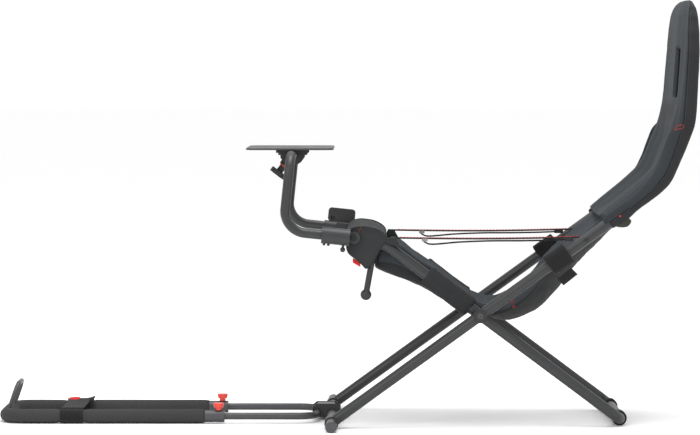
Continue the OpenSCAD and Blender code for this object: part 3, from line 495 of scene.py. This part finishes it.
# Stitches: short dashes of thread set along a path, raised a little out of the cloth.
stitch_tree = bpy.data.node_groups.new("stitch_row", "GeometryNodeTree")
stitch_sockets = {}
for title, kind in (("Geometry", "NodeSocketGeometry"), ("Pitch", "NodeSocketFloat"),
                    ("Length", "NodeSocketFloat"), ("Thickness", "NodeSocketFloat"),
                    ("Thread", "NodeSocketMaterial")):
    stitch_sockets[title] = stitch_tree.interface.new_socket(title, in_out="INPUT",
        socket_type=kind).identifier
stitch_tree.interface.new_socket("Geometry", in_out="OUTPUT", socket_type="NodeSocketGeometry")
tree = stitch_tree
given = tree.nodes.new("NodeGroupInput").outputs
evenly = add(tree, "GeometryNodeResampleCurve", mode="LENGTH")
tree.links.new(given["Geometry"], evenly.inputs["Curve"])
tree.links.new(given["Pitch"], evenly.inputs["Length"])
dash = add(tree, "GeometryNodeMeshUVSphere", {"Segments": 6, "Rings": 5, "Radius": 0.5})
tangent = tree.nodes.new("GeometryNodeInputTangent").outputs[0]
turned = add(tree, "FunctionNodeAlignRotationToVector", {"Vector": tangent}, axis="Z")
sizes = add(tree, "ShaderNodeCombineXYZ", {0: given["Thickness"], 1: given["Thickness"], 2: given["Length"]})
placed = add(tree, "GeometryNodeInstanceOnPoints", {"Points": evenly.outputs[0], "Instance": dash.outputs[0],
    "Rotation": turned.outputs[0], "Scale": sizes.outputs[0]})
solid = add(tree, "GeometryNodeRealizeInstances", {0: placed.outputs[0]})
coloured = add(tree, "GeometryNodeSetMaterial", {"Geometry": solid.outputs[0], "Material": given["Thread"]})
tree.links.new(coloured.outputs[0], tree.nodes.new("NodeGroupOutput").inputs[0])


def stitch_rows(name, paths, thread, pitch=0.0055, length=0.0038, thickness=0.0011):
    """One mesh of stitches along the given paths, each a list of points in metres."""
    line = bpy.data.curves.new(name, "CURVE")
    line.dimensions = "3D"
    for path in paths:
        spline = line.splines.new("POLY")
        spline.points.add(len(path) - 1)
        for point, p in zip(spline.points, path):
            point.co = (*p, 1)
    holder = bpy.data.objects.new(name + "_path", line)
    bpy.context.collection.objects.link(holder)
    rows = holder.modifiers.new("stitches", "NODES")
    rows.node_group = stitch_tree
    for title, value in (("Pitch", pitch), ("Length", length), ("Thickness", thickness), ("Thread", thread)):
        rows[stitch_sockets[title]] = value
    graph = bpy.context.evaluated_depsgraph_get()
    mesh = bpy.data.meshes.new_from_object(holder.evaluated_get(graph), depsgraph=graph)
    bpy.data.objects.remove(holder)
    mesh.name = name
    for face in mesh.polygons:
        face.use_smooth = True
    piece = bpy.data.objects.new(name, mesh)
    bpy.context.collection.objects.link(piece)
    return piece


red_thread = grained("red_thread", (0.45, 0.018, 0.020), (0.62, 0.03, 0.03), 0.6, 0.75, fine_scale=2500.0)
grey_thread = grained("grey_thread", (0.07, 0.075, 0.08), (0.11, 0.115, 0.12), 0.65, 0.8, fine_scale=2500.0)
seam_paths = []
for at_seam in (COLUMNS + side_profile.index((0.63, 0.8)), wide - 1 - side_profile.index((0.63, 0.8))):
    outward = 0.0006 if at_seam < wide // 2 else -0.0006
    seam_paths.append([shell_rows[j][at_seam] + Vector((0, outward, 0)) for j in range(2, STATIONS - 6)])
shell_seam = stitch_rows("seat_seam_stitches", seam_paths, grey_thread, pitch=0.0045, length=0.003,
    thickness=0.0009)
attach(shell_seam, "seat_frame")

# ---- Lock plate catch ----
# A moulded catch snapped into the back of the tilt lock plate. It closes the square window, so
# the window reads as a dark recess and not as a hole.
catch = skin("lock_plate_catch", [[Vector((-31.3 + x, y, 462.3 + z)) * 0.001 for x, z in
    ((-7.5, -6.5), (7.5, -7.1), (8.1, 6.5), (-6.9, 7.1))] for y in (207.2, 209.4)])
catch.data.materials.append(black_nylon)
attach(catch, "arm_carrier")

# ---- Side pads ----
# A softer padded panel on each side of the back, sewn on along its front crease, with a bartack
# of red thread at its top corner where it takes the load of a shoulder.
pad_edge = [(583, 480), (604, 497), (640, 524), (672, 552), (695, 582), (711, 613), (724, 650), (736, 678),
    (750, 692), (762, 690)]
pad_back = [(590, 466), (621, 489), (656, 512), (692, 541), (722, 575), (738, 607), (750, 642), (758, 668),
    (763, 682), (765, 686)]
pads = []
for side in (-1, 1):
    rows = []
    edge = curve_through([(x, 0, z) for x, z in pad_edge], 60)
    back = curve_through([(x, 0, z) for x, z in pad_back], 60)
    for k, (a, b) in enumerate(zip(edge, back)):
        t = k / 59
        puff = 6.6 * math.sin(math.pi * min(1, t * 1.03)) ** 0.42
        half = shell_half_width(0.5 * (a.z + b.z))
        row = []
        for i in range(13):
            s = i / 12
            rise = puff * math.sin(math.pi * s) ** 0.48
            row.append((a.lerp(b, s) + Vector((0, side * (half - 2.0 + rise), 0))) * 0.001)
        for i in range(1, 12):
            row.append((b.lerp(a, i / 12) + Vector((0, side * (half - 6), 0))) * 0.001)
        rows.append(row)
    pads.append(rows)
side_pads = []
for side, rows in zip(("left", "right"), pads):
    pad = skin("side_pad_" + side, rows)
    pad.data.materials.append(front_cloth)
    subdivide(pad, 1)
    settle(pad)
    rumple(pad, 0.0008, 22.0, (1, 1, 1), 1.3)
    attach(pad, "seat_frame")
    side_pads.append(pad)
tack_paths = []
for side in (-1, 1):
    y = side * 0.2200
    for path in ([(746, 683), (752, 690), (760, 693), (767, 690)],
        [(747, 681), (754, 684), (761, 684), (766, 687)]):
        tack_paths.append([Vector((p.x * 0.001, y, p.z * 0.001)) for p in curve_through([(x, 0, z) for x,
            z in path], 12)])
tacks = stitch_rows("side_pad_bartacks", tack_paths, red_thread, pitch=0.003, length=0.0026, thickness=0.0012)
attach(tacks, "seat_frame")

# ---- Seat sling and thigh support ----
# One padded trough of cloth from the front roll to the lower back. It hangs between the rails,
# deepest behind the pivot, with side walls, a bound rim and a bottom panel in the darker rear
# cloth, dark both as its own fabric and as painted shade under the trough. It is the piece that
# folds when the two frames close, so it bends between them.
trough_lines = {
    "middle": [(70, 398), (112, 398), (160, 366), (200, 338), (250, 300), (298, 268), (345, 257), (385, 256),
        (418, 267), (446, 290), (474, 324), (514, 374), (578, 438), (634, 488)],
    "rim": [(76, 402), (117, 422), (166, 389), (207, 361), (257, 322), (304, 288), (349, 281), (385, 294),
        (415, 313), (446, 340), (474, 378), (530, 430), (582, 473), (636, 510)],
    "bottom": [(66, 358), (108, 341), (158, 321), (200, 300), (250, 268), (298, 246), (345, 237), (385, 235),
        (425, 247), (459, 267), (491, 303), (532, 356), (592, 420), (642, 470)],
    "corner": [(68, 367), (108, 351), (157, 332), (199, 311), (249, 280), (297, 259), (343, 255), (377, 265),
        (411, 288), (440, 318), (466, 350), (515, 392), (582, 440), (636, 484)]}
TROUGH = 91
lines = {key: curve_through([(x, 0, z) for x, z in value], TROUGH) for key, value in trough_lines.items()}
trough_rows = []
for k in range(TROUGH):
    middle, rim, bottom, corner = (lines[key][k] for key in ("middle", "rim", "bottom", "corner"))
    half = value_through([(60, 151), (300, 151), (345, 147), (480, 147), (560, 140), (640, 128)], middle.x)
    row = []
    for i in range(29):
        s = 2 * i / 28 - 1
        climb = abs(s) ** 2.6
        row.append(middle.lerp(rim, climb) + Vector((0, s * (half - 5), 0)))
    for i in range(1, 9):
        t = i / 9
        row.append(rim.lerp(corner, t) + Vector((0, half - 5 + 5 * math.sin(math.pi * t) ** 0.4, 0)))
    for i in range(29):
        s = 1 - 2 * i / 28
        row.append(bottom.lerp(corner, abs(s) ** 2.4) + Vector((0, s * (half - 5), 0)))
    for i in range(1, 9):
        t = i / 9
        row.append(corner.lerp(rim, t) - Vector((0, half - 5 + 5 * math.sin(math.pi * t) ** 0.4, 0)))
    trough_rows.append([p * 0.001 for p in row])
trough = skin("seat_trough", trough_rows)
inner_cloth = woven("inner_cloth", (0.018, 0.021, 0.024), (0.052, 0.059, 0.066))
for mat in (inner_cloth, rear_cloth):
    trough.data.materials.append(mat)
wide = len(trough_rows[0])
# Walls and rim get the inner cloth. The bottom and end get the darker rear cloth, partly as painted shade
# under the trough.
for index, face in enumerate(trough.data.polygons):
    k = index % wide
    face.material_index = 1 if 35 <= k < 68 or index >= (TROUGH - 1) * wide else 0
subdivide(trough, 1)
settle(trough)
rumple(trough, 0.0022, 12.0, (1, 0.7, 1), 5.2)
rumple(trough, 0.0012, 38.0, (1.4, 0.7, 1.4), 2.2)
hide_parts("thigh_pad", "seat_sling")
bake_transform(trough)

sling_paths = []
for centre_x, centre_z, size in ((383, 287, 3.6), (387, 275, 3.0)):
    for turn in (45, 135):
        d = Vector((math.cos(math.radians(turn)), 0, math.sin(math.radians(turn)))) * size
        for side in (-1, 1):
            c = Vector((centre_x, side * 148.4, centre_z))
            sling_paths.append([(c - d) * 0.001, c * 0.001, (c + d) * 0.001])
sling_marks = stitch_rows("sling_bartacks", sling_paths, red_thread, pitch=0.0026, length=0.0028,
    thickness=0.0012)
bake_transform(sling_marks)

# ---- Front roll ----
# The padded front edge of the seat: foam in a sewn sleeve, pulled over the crossbar and the
# rail ends like a boot. A piped ridge runs along its top front, and each end is closed by a
# panel with a row of red stitches beside the seam.
roll_outline = [(22, 459), (34, 461), (48, 460), (66, 457), (82, 450), (93, 441), (97, 431), (92, 423),
    (85, 414),
    (77, 402), (69, 387), (58, 371), (48, 364), (40, 372), (26, 385), (10, 397), (4, 408), (2.5, 424),
    (4.5, 441),
    (11, 454)]
roll_ring = curve_through([(x, 0, z) for x, z in roll_outline + roll_outline[:1]], 73)[:-1]
roll_heart = sum(roll_ring, Vector()) / len(roll_ring)
roll_rows = []
for y, scale in ((-184.6, 0.86), (-184.6, 0.935), (-183.8, 0.972), (-180.5, 0.99), (-174, 1.0), (-160, 1.0),
                 (-145, 0.992), (-120, 0.985), (-90, 0.98), (-60, 0.978), (-30, 0.976), (0, 0.975)):
    roll_rows.append([(roll_heart.lerp(p, scale) + Vector((0, y, 0))) * 0.001 for p in roll_ring])
roll_rows += [[Vector((p.x, -p.y, p.z)) for p in row] for row in reversed(roll_rows[:-1])]
roll = skin("front_roll_cover", roll_rows)
roll_cloth = woven("roll_cloth", (0.012, 0.0128, 0.0132), (0.036, 0.038, 0.039))
roll.data.materials.append(roll_cloth)
subdivide(roll, 2)
settle(roll)
rumple(roll, 0.0016, 16.0, (1, 1.6, 1), 9.4)
rumple(roll, 0.0006, 60.0, (1, 1, 1), 4.4)
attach(roll, "wheel_frame")
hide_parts("front_roll")


def tube_skin(name, path, radius, around=12, closed=False, flat=1.0, ends=True):
    """A round or flattened cord of cloth along a path in metres."""
    rows = []
    for k, p in enumerate(path):
        before = path[k - 1] if k or closed else p
        after = path[(k + 1) % len(path)] if k < len(path) - 1 or closed else p
        forward = (after - before).normalized()
        side = forward.cross(Vector((0, 1, 0)))
        side = side.normalized() if side.length > 0.1 else Vector((1, 0, 0))
        up = side.cross(forward)
        r = radius(k / (len(path) - 1)) if callable(radius) else radius
        rows.append([p + side * r * flat * math.cos(a) + up * r * math.sin(a)
            for a in (2 * math.pi * i / around for i in range(around))])
    return skin(name, rows, cap=ends and not closed, loop_rows=closed)


piping_paths, roll_seams = [], []
for side in (-1, 1):
    ring = [(roll_heart.lerp(p, 0.978) + Vector((0, side * 183.2, 0))) * 0.001 for p in roll_ring]
    piping_paths.append(ring)
    line = curve_through([(36, side * 184.6, 460), (30, side * 185.2, 446), (23, side * 185.4, 429),
        (19, side * 185.2, 418), (16, side * 184.8, 405)], 24)
    roll_seams.append([p * 0.001 for p in line[:15]])
for name, ring in zip(("roll_piping_left", "roll_piping_right"), piping_paths):
    piping = tube_skin(name, ring, 0.0016, around=8, closed=True)
    piping.data.materials.append(rear_cloth)
    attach(piping, "wheel_frame")
roll_stitches = stitch_rows("roll_stitches", roll_seams, red_thread, pitch=0.004, length=0.003,
    thickness=0.0010)
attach(roll_stitches, "wheel_frame")

# The pull tab is a folded piece of red tape, sewn under the left end of the roll.
tab_line = curve_through([(17.5, 0, 383.5), (23, 0, 380), (29, 0, 376.5), (35, 0, 372.5)], 14)
tab_rows = []
for k, p in enumerate(tab_line):
    tall = 6.8 - 0.6 * k / 13
    tab_rows.append([(p + Vector((0, -177 + dy + 0.8 * math.sin(0.35 * k), t * tall))) * 0.001
        for t, dy in ((-1, 0), (-0.5, 0.9), (0, 1.1), (0.5, 0.9), (1, 0), (0.5, -0.9), (0, -1.1),
        (-0.5, -0.9))])
tab = skin("pull_tab_tape", tab_rows)
red_tape = woven("red_tape", (0.38, 0.014, 0.014), (0.62, 0.035, 0.030), pitch=0.0012, sheen=0.1)
tab.data.materials.append(red_tape)
subdivide(tab, 1)
settle(tab)
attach(tab, "wheel_frame")
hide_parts("pull_tab")

# ---- Rail loops ----
# Sleeves of the trough's cloth that wrap each wheel rail beside the thighs: padded, closed
# below with a hidden seam, hemmed at both ends, and flat where they pass the seat rail.
WHEEL_RAIL_Y = 0.170
pivot = mm(307.597, 0, 258.104)
wheel_up = Vector((-math.cos(math.radians(36.7)), 0, math.sin(math.radians(36.7))))
wheel_over = Vector((math.sin(math.radians(36.7)), 0, math.cos(math.radians(36.7))))
seat_up = Vector((math.cos(math.radians(35.9)), 0, math.sin(math.radians(35.9))))
seat_over = Vector((-math.sin(math.radians(35.9)), 0, math.cos(math.radians(35.9))))


def sleeve(name, axis_y, along, over, start, end, high, out, inside, low, hem=0.0014):
    """A soft sleeve round a rail: high above it, low below, out and inside to either side."""
    rows = []
    for k in range(29):
        t = k / 28
        edge = min(t, 1 - t)
        swell = 1 - 0.10 * math.exp(-edge / 0.025) + 0.012 * math.sin(9 * t)
        rim = hem if 0.03 < edge < 0.09 else 0.0
        row = []
        for i in range(36):
            a = 2 * math.pi * i / 36
            c, s = math.cos(a), math.sin(a)
            reach = (out if c > 0 else inside) * math.copysign(abs(c) ** 0.72, c) * swell
            rise = (high if s > 0 else low) * math.copysign(abs(s) ** 0.72, s) * swell
            p = pivot + along * (start + (end - start) * t) + over * rise
            row.append(p + over * math.copysign(rim, rise) * abs(s)
                + Vector((0, math.copysign(1, axis_y) * (abs(axis_y) + reach), 0)))
        rows.append(row)
    return skin(name, rows)


for side, name in ((-1, "left"), (1, "right")):
    loop = sleeve("rail_loop_" + name, side * WHEEL_RAIL_Y, wheel_up, wheel_over, 0.026, 0.152, 0.0232,
        0.0137, 0.022, 0.0228)
    loop.data.materials.append(rear_cloth)
    subdivide(loop, 1)
    settle(loop)
    rumple(loop, 0.0010, 26.0, (1, 0.5, 1), 2.0 + side)
    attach(loop, "wheel_frame")
    if side < 0:
        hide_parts("rail_loops")

# ---- Rail cuffs ----
# Hook-and-loop straps that tie the cover to the seat rails: a wide band round the rail, pulled
# through and pressed back on itself, with its loose end standing out below.
hook_loop = woven("hook_loop", (0.006, 0.006, 0.0065), (0.018, 0.018, 0.019), pitch=0.0013, bump=0.6,
    depth=0.0006,
    sheen=0.08)
for side, name in ((-1, "left"), (1, "right")):
    cuff = sleeve("rail_cuff_" + name, side * 0.197, seat_up, seat_over, 0.192, 0.248, 0.0262, 0.0225, 0.0130,
        0.0262, hem=0.0008)
    cuff.data.materials.append(hook_loop)
    subdivide(cuff, 1)
    settle(cuff)
    rumple(cuff, 0.0009, 30.0, (1, 1, 1), 6.0 + side)
    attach(cuff, "seat_frame")
    tail_rows = []
    for k in range(15):
        t = k / 14
        row = []
        for i in range(13):
            s = i / 12
            p = mm(483, 0, 342).lerp(mm(515, 0, 367), s) + mm(15, 0, -15) * (t - 0.12)
            lift = 0.0175 + 0.004 * math.sin(2.6 * t) + 0.001 * math.sin(5 * s)
            row.append(p + Vector((0, side * (0.197 + lift - 0.006 * t), 0)))
        tail_rows.append(row)
    tail = skin("cuff_tail_" + name, tail_rows, ring=False, cap=False)
    tail.data.materials.append(hook_loop)
    thick = tail.modifiers.new("thickness", "SOLIDIFY")
    thick.thickness = 0.0018
    thick.offset = 0
    settle(tail)
    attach(tail, "seat_frame")
    if side < 0:
        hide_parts("rail_cuffs")

# ---- Cover flaps ----
# Small flaps that close the back of the cover under each rail, held by a red snap.
flap_outline = [(607, 470), (614, 462), (628, 459.5), (641, 461), (648, 467), (651, 475), (643, 482),
    (631, 480),
    (618, 475)]
flap_cloth = woven("flap_cloth", (0.024, 0.023, 0.019), (0.055, 0.052, 0.044), pitch=0.0014)
for side, name in ((-1, "left"), (1, "right")):
    ring = curve_through([(x, 0, z) for x, z in flap_outline + flap_outline[:1]], 37)[:-1]
    heart = sum(ring, Vector()) / len(ring)
    rows = [[(heart.lerp(p, scale) + Vector((0, side * (203 + off), 0))) * 0.001 for p in ring]
        for scale, off in ((0.35, -1.2), (0.9, -1.4), (1.0, 0.2), (0.94, 1.9), (0.35, 3.0))]
    flap = skin("cover_flap_" + name, rows)
    flap.data.materials.append(flap_cloth)
    subdivide(flap, 1)
    settle(flap)
    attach(flap, "seat_frame")
    if side < 0:
        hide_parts("cover_flaps")
snap_paths = []
for side in (-1, 1):
    for turn in (30, 120):
        d = Vector((math.cos(math.radians(turn)), 0, math.sin(math.radians(turn)))) * 2.4
        c = Vector((624, side * 214.6, 486))
        snap_paths.append([(c - d) * 0.001, c * 0.001, (c + d) * 0.001])
snaps = stitch_rows("flap_bartacks", snap_paths, red_thread, pitch=0.0016, length=0.0024, thickness=0.0014)
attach(snaps, "seat_frame")
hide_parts("flap_snaps")

# ---- Tension straps ----
# Black webbing from a hook on each wheel rail to a bolt on the seat rail. The two straps hold
# the frames apart when the seat is open. Each runs through a slider, is sewn with red thread
# along its top, and its spare end hangs in a shallow bow underneath.
strap_web = woven("strap_web", (0.008, 0.008, 0.009), (0.030, 0.030, 0.032), pitch=0.0016, bump=0.6,
    depth=0.0005,
    sheen=0.02)


def ribbon(name, path, y, width, thickness):
    rows = []
    for k, p in enumerate(path):
        a, b = path[max(k - 1, 0)], path[min(k + 1, len(path) - 1)]
        forward = (b - a).normalized()
        up = Vector((-forward.z, 0, forward.x))
        row = []
        for c, s in ((-1, -0.5), (-0.5, -0.5), (0, -0.5), (0.5, -0.5), (1, -0.5), (1, 0.5), (0.5, 0.5),
            (0, 0.5),
                     (-0.5, 0.5), (-1, 0.5)):
            row.append(p + Vector((0, y + c * width / 2, 0)) + up * thickness * s)
        rows.append(row)
    return skin(name, rows)


hook_point, bolt_point = mm(108.3, 0, 429.6), mm(547.8, 0, 432.0)
red_lines = []
for side, name in ((-1, "left"), (1, "right")):
    y = side * WHEEL_RAIL_Y
    path = []
    for k in range(9):
        a = math.radians(250 - 160 * k / 8)
        path.append(hook_point + Vector((math.cos(a), 0, math.sin(a))) * 0.0046)
    count = 46
    for k in range(1, count):
        t = k / count
        path.append(hook_point.lerp(bolt_point, t) + Vector((0, 0, 0.0046 - 0.0030 * math.sin(math.pi * t))))
    for k in range(13):
        a = math.radians(90 - 200 * k / 12)
        path.append(bolt_point + Vector((math.cos(a), 0, math.sin(a))) * 0.0056)
    strap = ribbon("tension_strap_" + name, path, y, 0.020, 0.0030)
    strap.data.materials.append(strap_web)
    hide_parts("strap_left" if side < 0 else "strap_right")
    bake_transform(strap)
    spare_line = curve_through([(176, 0, 429.5), (184, 0, 423), (196, 0, 419.5), (222, 0, 421),
        (262, 0, 424.6),
        (330, 0, 427.2), (400, 0, 427.6), (455, 0, 428.6), (500, 0, 430.2)], 40)
    spare = ribbon("strap_spare_end_" + name, [p * 0.001 for p in spare_line], y, 0.019, 0.0028)
    spare.data.materials.append(strap_web)
    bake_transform(spare)
    top = [p + Vector((0, 0, 0.0018)) for p in path[10:-14]]
    for off in (-0.0085, 0.0085):
        red_lines.append([p + Vector((0, y + off, 0)) for p in top])
strap_stitches = stitch_rows("strap_stitches", red_lines, red_thread, pitch=0.0075, length=0.0046,
    thickness=0.0012)
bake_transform(strap_stitches)

# ---- Pivot screws ----
# Button-head screws with a hex socket, set in the black pivot caps on both sides.
for side, name in ((-1, "left"), (1, "right")):
    rows = []
    for r, out in ((6.2, 0.2), (6.2, 1.0), (5.8, 1.6), (4.6, 2.1), (3.4, 2.3), (3.0, 1.9), (2.9, 0.4),
        (0.3, 0.3)):
        hexed = r < 3.6
        rows.append([pivot + Vector((0, side * (0.2175 + out * 0.001), 0)) + Vector((math.cos(a), 0,
            math.sin(a)))
            * (r * (0.90 / math.cos((a + 0.001) % (math.pi / 3) - math.pi / 6) if hexed else 1)) * 0.001
            for a in (2 * math.pi * i / 48 for i in range(48))])
    screw = skin("pivot_screw_" + name, rows)
    screw.data.materials.append(dull_zinc)
    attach(screw, "seat_frame")

# ---- Pedal frame grips ----
# Closed-cell foam tube slid over the steel U: matt, full of fine pores, with flat ends at the
# collars and a slight waist under the strap.
FOAM_Z = 16.8
foam_skin, tree, shader = new_material("closed_cell_foam")
place = add(tree, "ShaderNodeTexCoord").outputs["Object"]
grain = add(tree, "ShaderNodeGroup", node_tree=GRAIN)
tree.links.new(place, grain.inputs["Vector"])
pores = add(tree, "ShaderNodeTexVoronoi", {"Vector": place, "Scale": 520.0})
pits = add(tree, "ShaderNodeMapRange", {"Value": pores.outputs["Distance"], "From Min": 0.1,
    "From Max": 0.45})
mask = math_node(tree, "ADD", math_node(tree, "MULTIPLY", pits.outputs[0], 0.5),
    math_node(tree, "MULTIPLY", grain.outputs["Cloud"], 0.5))
tree.links.new(mix_colour(tree, mask, (0.015, 0.015, 0.0155, 1), (0.038, 0.038, 0.0395, 1)),
    shader.inputs["Base Color"])
dull = add(tree, "ShaderNodeMapRange", {"Value": grain.outputs["Cloud"], "To Min": 0.72, "To Max": 0.92})
tree.links.new(dull.outputs[0], shader.inputs["Roughness"])
dents = add(tree, "ShaderNodeBump", {"Height": pits.outputs[0], "Strength": 0.35, "Distance": 0.0004})
tree.links.new(dents.outputs[0], shader.inputs["Normal"])
shader.inputs["Specular IOR Level"].default_value = 0.3

foam_path = []
for k in range(61):
    foam_path.append(Vector((-324.5 + (-747.5 + 324.5) * k / 60, -99, FOAM_Z)))
for k in range(1, 19):
    a = math.radians(90 * k / 19)
    foam_path.append(Vector((-747.5 - 40 * math.sin(a), -59 - 40 * math.cos(a), FOAM_Z)))
for k in range(0, 9):
    foam_path.append(Vector((-787.5, -59 + 59 * k / 8, FOAM_Z)))
foam_path += [Vector((p.x, -p.y, p.z)) for p in reversed(foam_path[:-1])]
foam_rows = []
for k, p in enumerate(foam_path):
    a, b = foam_path[max(k - 1, 0)], foam_path[min(k + 1, len(foam_path) - 1)]
    forward = (b - a).normalized()
    side_way = forward.cross(Vector((0, 0, 1)))
    edge = min(k, len(foam_path) - 1 - k)
    r = 16.3 - 1.6 * math.exp(-edge / 0.6) + 0.25 * noise.noise(p * 0.02)
    if abs(p.x + 633) < 40 and abs(abs(p.y) - 99) < 1:
        r -= 1.9 * (1 if abs(p.x + 633) < 27 else (40 - abs(p.x + 633)) / 13)
    foam_rows.append([(p + (side_way * math.cos(a) + Vector((0, 0, 1)) * math.sin(a)) * r) * 0.001
        for a in (2 * math.pi * i / 32 for i in range(32))])
foam = skin("foam_grips", foam_rows)
foam.data.materials.append(foam_skin)
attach(foam, "pedal_frame")
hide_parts("foam_left", "foam_right", "foam_front")

# ---- Pedal strap ----
# A hook-and-loop strap round both grips that keeps a pedal set in place: it wraps under each
# grip, crosses between them, and ends in a lifted, folded tongue with a red tab.
strap_loop = []
radius = 17.3
for k in range(31):
    a = math.radians(90 + 270 * k / 30)
    strap_loop.append(Vector((0, -99 + radius * math.cos(a), FOAM_Z + radius * math.sin(a))))
strap_loop = [Vector((0, -99 + radius * math.cos(math.radians(90 + 350 * k / 40)),
    FOAM_Z + max(-16.4, radius * math.sin(math.radians(90 + 350 * k / 40))))) for k in range(41)]
for side, name in ((-1, "left"), (1, "right")):
    rows = []
    for x in (-659, -657.5, -650, -640, -630, -620, -610, -608.5, -607):
        bow = 0.5 * math.sin((x + 659) / 52 * math.pi)
        inner = [(Vector((x, 0, 0)) + Vector((0, side * -p.y, p.z))) for p in strap_loop]
        ring = []
        for p in inner:
            c = Vector((x, side * 99, FOAM_Z))
            ring.append((c + (p - c) * (1 + bow / radius)) * 0.001)
        rows.append(ring)
    wrap = skin("pedal_strap_wrap_" + name, rows, ring=True, cap=False)
    wrap.data.materials.append(hook_loop)
    thick = wrap.modifiers.new("thickness", "SOLIDIFY")
    thick.thickness = 0.0018
    thick.offset = -1
    settle(wrap)
    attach(wrap, "pedal_frame")
cross_line = curve_through([(0, -100, 34.6), (0, -85, 33.9), (0, -60, 32.6), (0, 0, 31.6), (0, 60, 32.6),
    (0, 85, 33.9),
    (0, 100, 34.6)], 49)
rows = [[(p + Vector((x, 0, 0.25 * math.sin(p.y * 0.05 + x)))) * 0.001 for x in (-658.5, -650, -641, -632,
    -623, -614,
    -607.5)] for p in cross_line]
crossing = skin("pedal_strap_crossing", rows, ring=False, cap=False)
crossing.data.materials.append(hook_loop)
thick = crossing.modifiers.new("thickness", "SOLIDIFY")
thick.thickness = 0.0018
settle(crossing)
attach(crossing, "pedal_frame")
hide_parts("pedal_strap")
rows = []
for k in range(25):
    a = math.radians(178 - 128 * k / 24)
    row = []
    for x in (-661, -655, -645, -635, -625, -615, -608, -602, -598.5):
        lift = max(0.0, x + 622) / 24
        r = 19.6 + 5.5 * lift ** 2 + 1.4 * math.sin(1.9 * a)
        row.append(Vector((x, 99 + r * math.cos(a), FOAM_Z + r * math.sin(a))) * 0.001)
    rows.append(row)
tongue = skin("pedal_strap_tongue", rows, ring=False, cap=False)
tongue.data.materials.append(hook_loop)
thick = tongue.modifiers.new("thickness", "SOLIDIFY")
thick.thickness = 0.0018
settle(tongue)
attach(tongue, "pedal_frame")
rows = []
for k in range(11):
    a = math.radians(172 - 66 * k / 10)
    r = 22.2 + 0.6 * math.sin(0.3 * k)
    rows.append([Vector((x + 0.5 * k, 99 + r * math.cos(a), FOAM_Z + r * math.sin(a) + dz)) * 0.001
        for x, dz in ((-660, -0.6), (-655, 0), (-648, 0.5), (-641, 0.2), (-637, -0.5))])
pedal_tab = skin("pedal_strap_tab", rows, ring=False, cap=False)
pedal_tab.data.materials.append(red_tape)
thick = pedal_tab.modifiers.new("thickness", "SOLIDIFY")
thick.thickness = 0.0022
settle(pedal_tab)
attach(pedal_tab, "pedal_frame")
